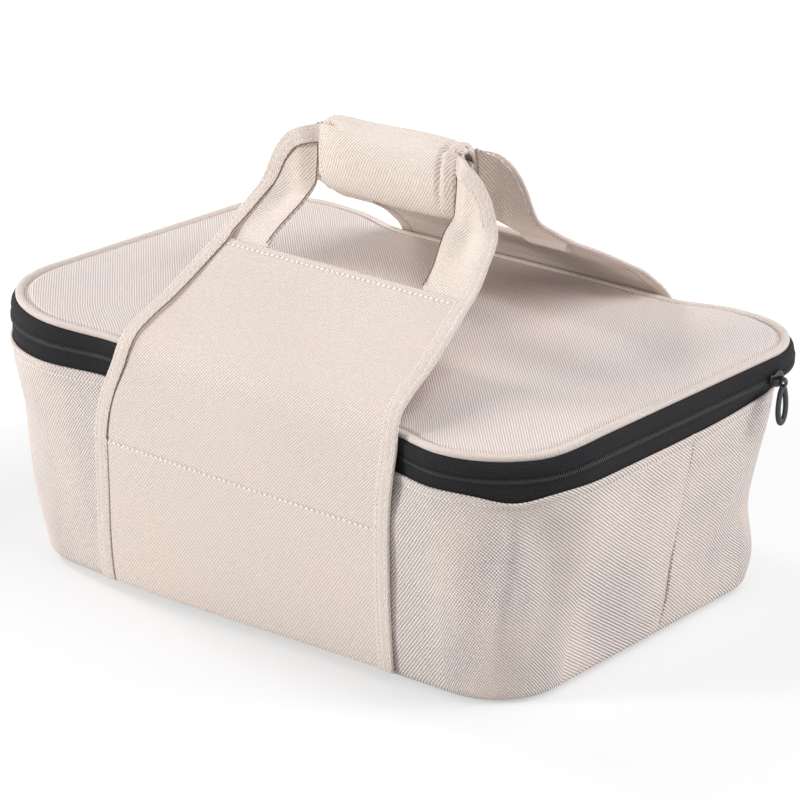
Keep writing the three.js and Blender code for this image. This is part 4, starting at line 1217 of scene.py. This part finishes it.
def makeHem(name, side, hand, bendIt):
    # Folded hems: one run sewn to the wall, one free, over the shoulder and into the grip.
    label = "left" if hand < 0 else "right"
    hem, thick = sling["hem"], sling["hemThick"]
    inwardX = np.array([side * hand * 1.0, 0, 0])

    def fold(tag, line, inward, out):
        centre = line + inward * hem / 2 + out * thick / 2
        section = roundSection(hem / 2, thick / 2, 26, 3.4)
        # two stitched grooves press the fold's outer face in
        press = bell(section[:, 0], -0.28 * hem, 0.7 * mm) + bell(section[:, 0], 0.30 * hem, 0.7 * mm)
        section[:, 1] -= 0.4 * mm * press * (section[:, 1] > 0)
        return outward(sweep(f"{name}_{tag}_{label}_fold", centre, inward, out, section))

    z = np.linspace(sling["foot"], sling["stitchLine"], 44)
    edge = sewnPlace(side, hand * halfAt(z), z, 0.0)
    out = same((0, side, 0), len(z))
    sewnIn = same(inwardX, len(z))
    dress(fold("sewn_hem", edge, sewnIn, out), hemTwill, [f"{name}_sewn_hem_{label}"], "tub")
    s = np.linspace(0, 0.985, 76)
    x = hand * halfAt(freeHeight(s))
    free = freePlace(side, x, s, 0.0)
    freeOut = unit(freePlace(side, x, s, 1 * mm) - free)
    x, z = contour[contour[:, 1] > 0.1850].T
    arm = armPlace(side, hand * x, z, 0.0)
    armOut = unit(armPlace(side, hand * x, z, 1 * mm) - arm)
    armIn = np.cross(armOut, along(arm))
    armIn = armIn * np.sign((armIn[:1] * inwardX).sum())
    # places and directions of both runs go through one smooth line; directions weigh little
    joint = np.concatenate([np.concatenate([free, freeOut, same(inwardX, len(s))], 1),
                            np.concatenate([arm, armOut, armIn], 1)])
    keep = np.concatenate([np.arange(len(s)), np.arange(len(s), len(joint), 4), [len(joint) - 1]])
    weigh = np.array([1] * 3 + [0.02] * 6)
    fine = smoothLine(joint[keep] * weigh, 170) / weigh
    line, outs, inward = fine[:, :3], unit(fine[:, 3:6]), unit(fine[:, 6:])
    bendIt(dress(fold("hem", line, inward, outs), hemTwill, [f"{name}_hem_{label}"]))
    # threads: a dark line along the left inner edge, painted shade of the gap there, and pale rows in the
    # grooves
    if hand < 0:
        path = edge + sewnIn * (hem + 0.2 * mm) + out * (sling["cloth"] + 0.1 * mm)
        gapShadeLine(name + "_sewn_seam_left", path, out, 0.32 * mm, "tub")
        path = line + inward * (hem + 0.1 * mm) + outs * 2.2 * mm
        bendIt(gapShadeLine(name + "_free_seam_left", path, outs, 0.32 * mm))
    for row, inset in enumerate((0.22, 0.80)):
        path = edge + sewnIn * hem * inset + out * (thick - 0.32 * mm)
        sewRow(f"{name}_sewn_hem_thread_{label}_{row}", path, out, fineLook, "tub")
        path = line + inward * hem * inset + outs * (thick - 0.32 * mm)
        bendIt(sewRow(f"{name}_hem_thread_{label}_{row}", path, outs, fineLook))


def makeSling(name, side):
    # Panel, arms and hems; the free panel and hems above the stitch line run from the tub up to the handle
    # and are baked in place, on no body.
    bendIt = lambda piece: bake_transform(piece)
    makePanel(name, side, bendIt)
    for hand in (-1, 1):
        makeArm(name, side, hand)
        makeHem(name, side, hand, bendIt)


makeSling("front", -1)
makeSling("rear", 1)
print("slings made")


# Topstitching under the zip and the hinge, and the end seams

def wallRow(name, turn, z, sink, look, finish):
    # A row of thread on the wall, sunk a little.
    path = wallPoint(turn, z, -sink)
    sewRow(name, path, unit(wallPoint(turn, z, 2 * mm) - path), look, "tub", finish)


zipTurn = np.linspace(zipWork["start"] - 0.02, zipWork["end"] + 0.02, 900)
seamRise = np.linspace(8 * mm, 116 * mm, 120)
wallRow("zip_topstitch", zipTurn, walls["stitch"], 0.35 * mm, fineLook, creamThread)
wallRow("hinge_topstitch", np.linspace(0.40, 1.60, 500), walls["stitch"], 0.35 * mm, fineLook, creamThread)
wallRow("end_seam_right_thread", walls["seam"], seamRise, 0.05 * mm, seamLook, darkThreadAndGapShade)
wallRow("end_seam_left_thread", 2 - walls["seam"], seamRise, 0.05 * mm, seamLook, darkThreadAndGapShade)


# Grip: two flat corded bars and the padded wrap that closes over both

grip = {
    "height": 228 * mm, "depth": 15 * mm, "tall": 21 * mm, "half": 48.5 * mm, "shift": 6 * mm,
    "thick": 4.2 * mm, "tailThick": 1.5 * mm, "reach": 18 * mm, "foldHalf": 46.5 * mm, "stripHalf": 47.5 * mm,
    "barY": 5.9 * mm, "barHalf": 48.2 * mm, "bar": (12.8 * mm, 4.3 * mm), "cord": (8.8 * mm, 2.5 * mm),
    # degrees round the grip: wrap, flap, thinning to its tail, cloth over the fold
    "wrapSpan": (-80, 90), "flapSpan": (91.3, 278), "tailSpan": (232, 240), "foldSpan": (76, 104),
}


def gripPlace(x, angle, inside):
    # Tall soft oval |y/D|^2.56 + |z/H|^2.56 = 1 with both half sizes less by the depth inside;
    # angle 0 faces the front, 90 the top.
    curl = lambda value: np.sign(value) * np.abs(value) ** 0.78
    x, angle, inside = np.broadcast_arrays(x, angle, inside)
    depth = grip["depth"] * (1 - 0.2 * np.abs(x / grip["half"]) ** 6)
    return np.stack([x + grip["shift"], -(depth - inside) * curl(np.cos(angle)),
                     grip["height"] + (grip["tall"] - inside) * curl(np.sin(angle))], -1)


def gripDent(x, angle):
    # Depth of the wrap's face: drawn in at both ends, pinched pleats that run from the ends and fade inwards.
    k = np.abs(x) / grip["half"]
    ends = 1.1 * mm * k ** 8
    pleat = 2.7 * mm * bell(angle, 1.12 - 0.30 * (1 - k), 0.08) * bell(k, 0.88, 0.15)
    pleat = pleat - 1.3 * mm * bell(angle, 0.86 - 0.22 * (1 - k), 0.12) * bell(k, 0.86, 0.13)
    tuckRight = 2.2 * mm * bell(x, 39 * mm, 1.5 * mm) - 0.9 * mm * bell(x, 43 * mm, 2.2 * mm)
    sag = 0.5 * mm * np.sin(x * 75 + angle * 1.9)
    return ends + pleat + tuckRight * ease(angle, -0.9, 0.2) + sag


def makeWrapPart(name, nodes, span, body, thickAt):
    # A padded strip round the grip between two angles: outer and inner face closed by rounded edges.
    x = np.linspace(-grip["half"], grip["half"], 110)
    turn = np.radians(np.linspace(*span, 96))
    t, g = np.meshgrid(turn, x)
    rounded = lambda share: np.sqrt(1 - (1 - np.clip(share, 0, 1)) ** 2)
    full = rounded((grip["half"] - np.abs(g)) / (1.8 * mm))
    full = full * rounded(np.minimum(t - turn[0], turn[-1] - t) / 0.06)
    half = thickAt(np.degrees(t)) / 2
    middle = gripDent(g, t) + half
    top = gripPlace(g, t, middle - half * (0.2 + 0.8 * full))
    bottom = gripPlace(g, t, middle + half * (0.2 + 0.8 * full))[:, ::-1]
    reach = grip["reach"] * turn
    across = np.concatenate([reach, reach + np.ptp(reach) + 4 * mm])
    flat = flatOf(x[:, None], np.append(across, across[-1] + 4 * mm))
    piece = outward(surface(name, np.concatenate([top, bottom], 1), flat, closed=True, capped=True))
    dress(piece, gripTwillPaintedLight, nodes, body)


makeWrapPart("handle_wrap_pad", ["handle_wrap"], grip["wrapSpan"], "front_handle",
             lambda a: grip["thick"] + 0 * a)
makeWrapPart("wrap_flap_pad", ["wrap_flap", "wrap_flap_tail"], grip["flapSpan"], "wrap_flap",
             lambda a: grip["thick"] - (grip["thick"] - grip["tailThick"]) * ease(a, *grip["tailSpan"]))


def makeFold():
    # The outer cloth runs on over the fold between wrap and flap: a strip of the grip's oval.
    x = np.linspace(-grip["foldHalf"], grip["foldHalf"], 90)
    t, g = np.meshgrid(np.radians(np.linspace(*grip["foldSpan"], 41)), x)
    grid = gripPlace(g, t, gripDent(g, t) - 0.15 * mm)
    piece = thicken(surface("wrap_fold_cloth", grid, flatOf(g, grip["reach"] * t), flip=True), 0.6 * mm)
    dress(piece, gripTwillPaintedLight)
    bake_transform(piece)


def gripThread(name, x, angle, body):
    # A row of stitches on the face of the wrap, along the grip or round it.
    dent = gripDent(x, angle)
    path = gripPlace(x, angle, dent - 0.1 * mm)
    sewRow(name, path, unit(path - gripPlace(x, angle, dent + 2 * mm)), fineLook, body)


makeFold()
wrapTurn = np.radians(np.linspace(-74, 82, 160))
flapTurn = np.radians(np.linspace(98, 272, 180))
gripThread("wrap_thread_right", 40.6 * mm, wrapTurn, "front_handle")
gripThread("wrap_thread_left", -44.5 * mm, wrapTurn, "front_handle")
gripThread("flap_thread_right", 43.5 * mm, flapTurn, "wrap_flap")
gripThread("flap_thread_left", -43.5 * mm, flapTurn, "wrap_flap")
gripThread("flap_thread_edge", np.linspace(-42 * mm, 42 * mm, 140), np.radians(271), "wrap_flap")


def makeBars():
    # Bars: a flat core of twisted strands in a cloth sleeve with puckered ends.
    angle = np.linspace(0, 2 * np.pi, 36, endpoint=False)
    k = np.linspace(-1, 1, 80)[:, None]
    up, out = same((0, 0, 1), len(k)), same((0, 1, 0), len(k))
    oval = np.stack([np.sin(angle), np.cos(angle)], -1)
    pucker = 1 - 0.22 * np.abs(k) ** 6 + 0.02 * np.sin(angle * 7 + k * 9) * np.abs(k)
    lay = 0.93 + 0.06 * np.cos(6 * angle + k * 30)
    for name, side in (("front", -1), ("rear", 1)):
        path = np.concatenate([k * grip["barHalf"] + grip["shift"],
                               side * grip["barY"] * (1 - 0.28 * np.abs(k) ** 6),
                               np.full_like(k, grip["height"])], 1)
        section = oval * pucker[..., None] * grip["bar"]
        piece = outward(sweep(name + "_bar_sleeve", path, up, out, section))
        dress(piece, canvas, [name + "_bar_cover"], name + "_handle")
        section = oval * lay[..., None] * grip["cord"]
        piece = outward(sweep(name + "_bar_core", path * (0.97, 1, 1), up, out, section))
        dress(piece, creamThread, [name + "_bar_cord"], name + "_handle")


def makeStrip(name, last, low, high, body, finish):
    # A thin hook or loop strip where the flap's tail closes under the grip.
    x = np.linspace(-grip["stripHalf"], grip["stripHalf"], 60)
    t, g = np.meshgrid(np.radians(np.linspace(241.5, last, 40)), x)
    grid = np.concatenate([gripPlace(g, t, high), gripPlace(g, t, low)[:, ::-1]], 1)
    flat = flatOf(np.arange(81) * 0.4 * mm, x[:, None])
    piece = outward(surface(name + "_tape", grid, flat, closed=True, capped=True))
    dress(piece, finish, ["wrap_" + name], body)


makeBars()
makeStrip("loop_strip", 278, 4.3 * mm, 3.3 * mm, "front_handle", loopPile)
makeStrip("hook_strip", 277, 2.7 * mm, 2.0 * mm, "wrap_flap", hookPile)
print("grip made")


# Camera, floor and light

shot = {
    "azimuth": 40.48, "elevation": 20.40, "distance": 1.7017, "target": (0, 0, 0.100),
    "lens": 138.36, "shift": (0.0127, -0.0155),
}


def makeCamera():
    # The photograph's view: two angles and a distance from the target.
    a, e = math.radians(shot["azimuth"]), math.radians(shot["elevation"])
    back = np.array([math.sin(a) * math.cos(e), -math.cos(a) * math.cos(e), math.sin(e)])
    lens = bpy.data.cameras.new("photo_camera")
    lens.lens = shot["lens"]
    lens.sensor_width = 36
    lens.shift_x, lens.shift_y = shot["shift"]
    camera = placed("photo_camera", lens)
    camera.location = np.array(shot["target"]) + back * shot["distance"]
    camera.rotation_euler = (math.pi / 2 - e, 0, a)
    bpy.context.scene.camera = camera


floorWork = {
    "half": 6.0, "level": -0.0006, "bounce": (0.80, 0.79, 0.785, 1), "diffuse": (0.52, 0.52, 0.52, 1),
    "near": (0.43, 0.44, 0.445, 1), "far": (0.90, 0.90, 0.90, 1), "fade": (0.25, 0.9),
}


def makeFloor():
    # White floor: plain diffuse that takes the shadow, lifted to paper white only where it is seen.
    spots = np.linspace(-floorWork["half"], floorWork["half"], 3)
    flat = flatOf(spots, spots[:, None])
    floor = surface("floor", np.concatenate([flat, np.full((3, 3, 1), floorWork["level"])], -1), flat)
    f = newFinish("white_floor")
    bounce = f.node("ShaderNodeBsdfDiffuse", {"Color": floorWork["bounce"]})
    diffuse = f.node("ShaderNodeBsdfDiffuse", {"Color": floorWork["diffuse"]})
    away = f.node("ShaderNodeVectorMath", {0: f.solid()}, "Value", operation="LENGTH")
    white = f.mix(away.above(*floorWork["fade"]), floorWork["near"], floorWork["far"])
    glow = f.node("ShaderNodeEmission", {"Color": white, "Strength": 1.0})
    paper = f.node("ShaderNodeAddShader", {0: diffuse, 1: glow})
    both = f.node("ShaderNodeMixShader", {0: f.seen(), 1: bounce, 2: paper})
    f.node("ShaderNodeOutputMaterial", {"Surface": both})
    floor.data.materials.append(f.owner)


studio = {
    "tint": (0.960, 0.965, 1.0, 1), "strength": 0.37, "aim": (0, 0, 0.1),
    # name, place, size, power, tint
    "lamps": [
        ("key", (-1.9, -2.6, 1.0), 1.0, 72, (1.0, 0.985, 0.970)),
        ("left", (-2.5, 0.1, 1.65), 0.5, 26, (1.0, 0.985, 0.98)),
        ("side", (2.3, 1.7, 1.2), 1.4, 32, (0.965, 0.970, 1.0)),
        ("top", (1.3, 0.5, 2.5), 2.4, 36, (1.0, 0.970, 0.965)),
    ],
}


def makeLight():
    # A soft world that is white where it is seen, and four round lamps aimed at the bag.
    f = Graph(bpy.data.worlds.new("studio"))
    white = f.node("ShaderNodeBackground", {"Color": (1, 1, 1, 1), "Strength": 1.0})
    soft = f.node("ShaderNodeBackground", {"Color": studio["tint"], "Strength": studio["strength"]})
    both = f.node("ShaderNodeMixShader", {0: f.seen(), 1: soft, 2: white})
    f.node("ShaderNodeOutputWorld", {"Surface": both})
    bpy.context.scene.world = f.owner
    for name, place, size, power, tint in studio["lamps"]:
        lamp = bpy.data.lights.new(name, "AREA")
        lamp.shape = "DISK"
        lamp.size = size
        lamp.energy = power
        lamp.color = tint
        piece = placed(name, lamp)
        piece.location = place
        way = Vector(studio["aim"]) - Vector(place)
        piece.rotation_euler = way.to_track_quat("-Z", "Y").to_euler()


makeCamera()
makeFloor()
makeLight()
bpy.context.scene.view_settings.view_transform = "Standard"
print("stage set")
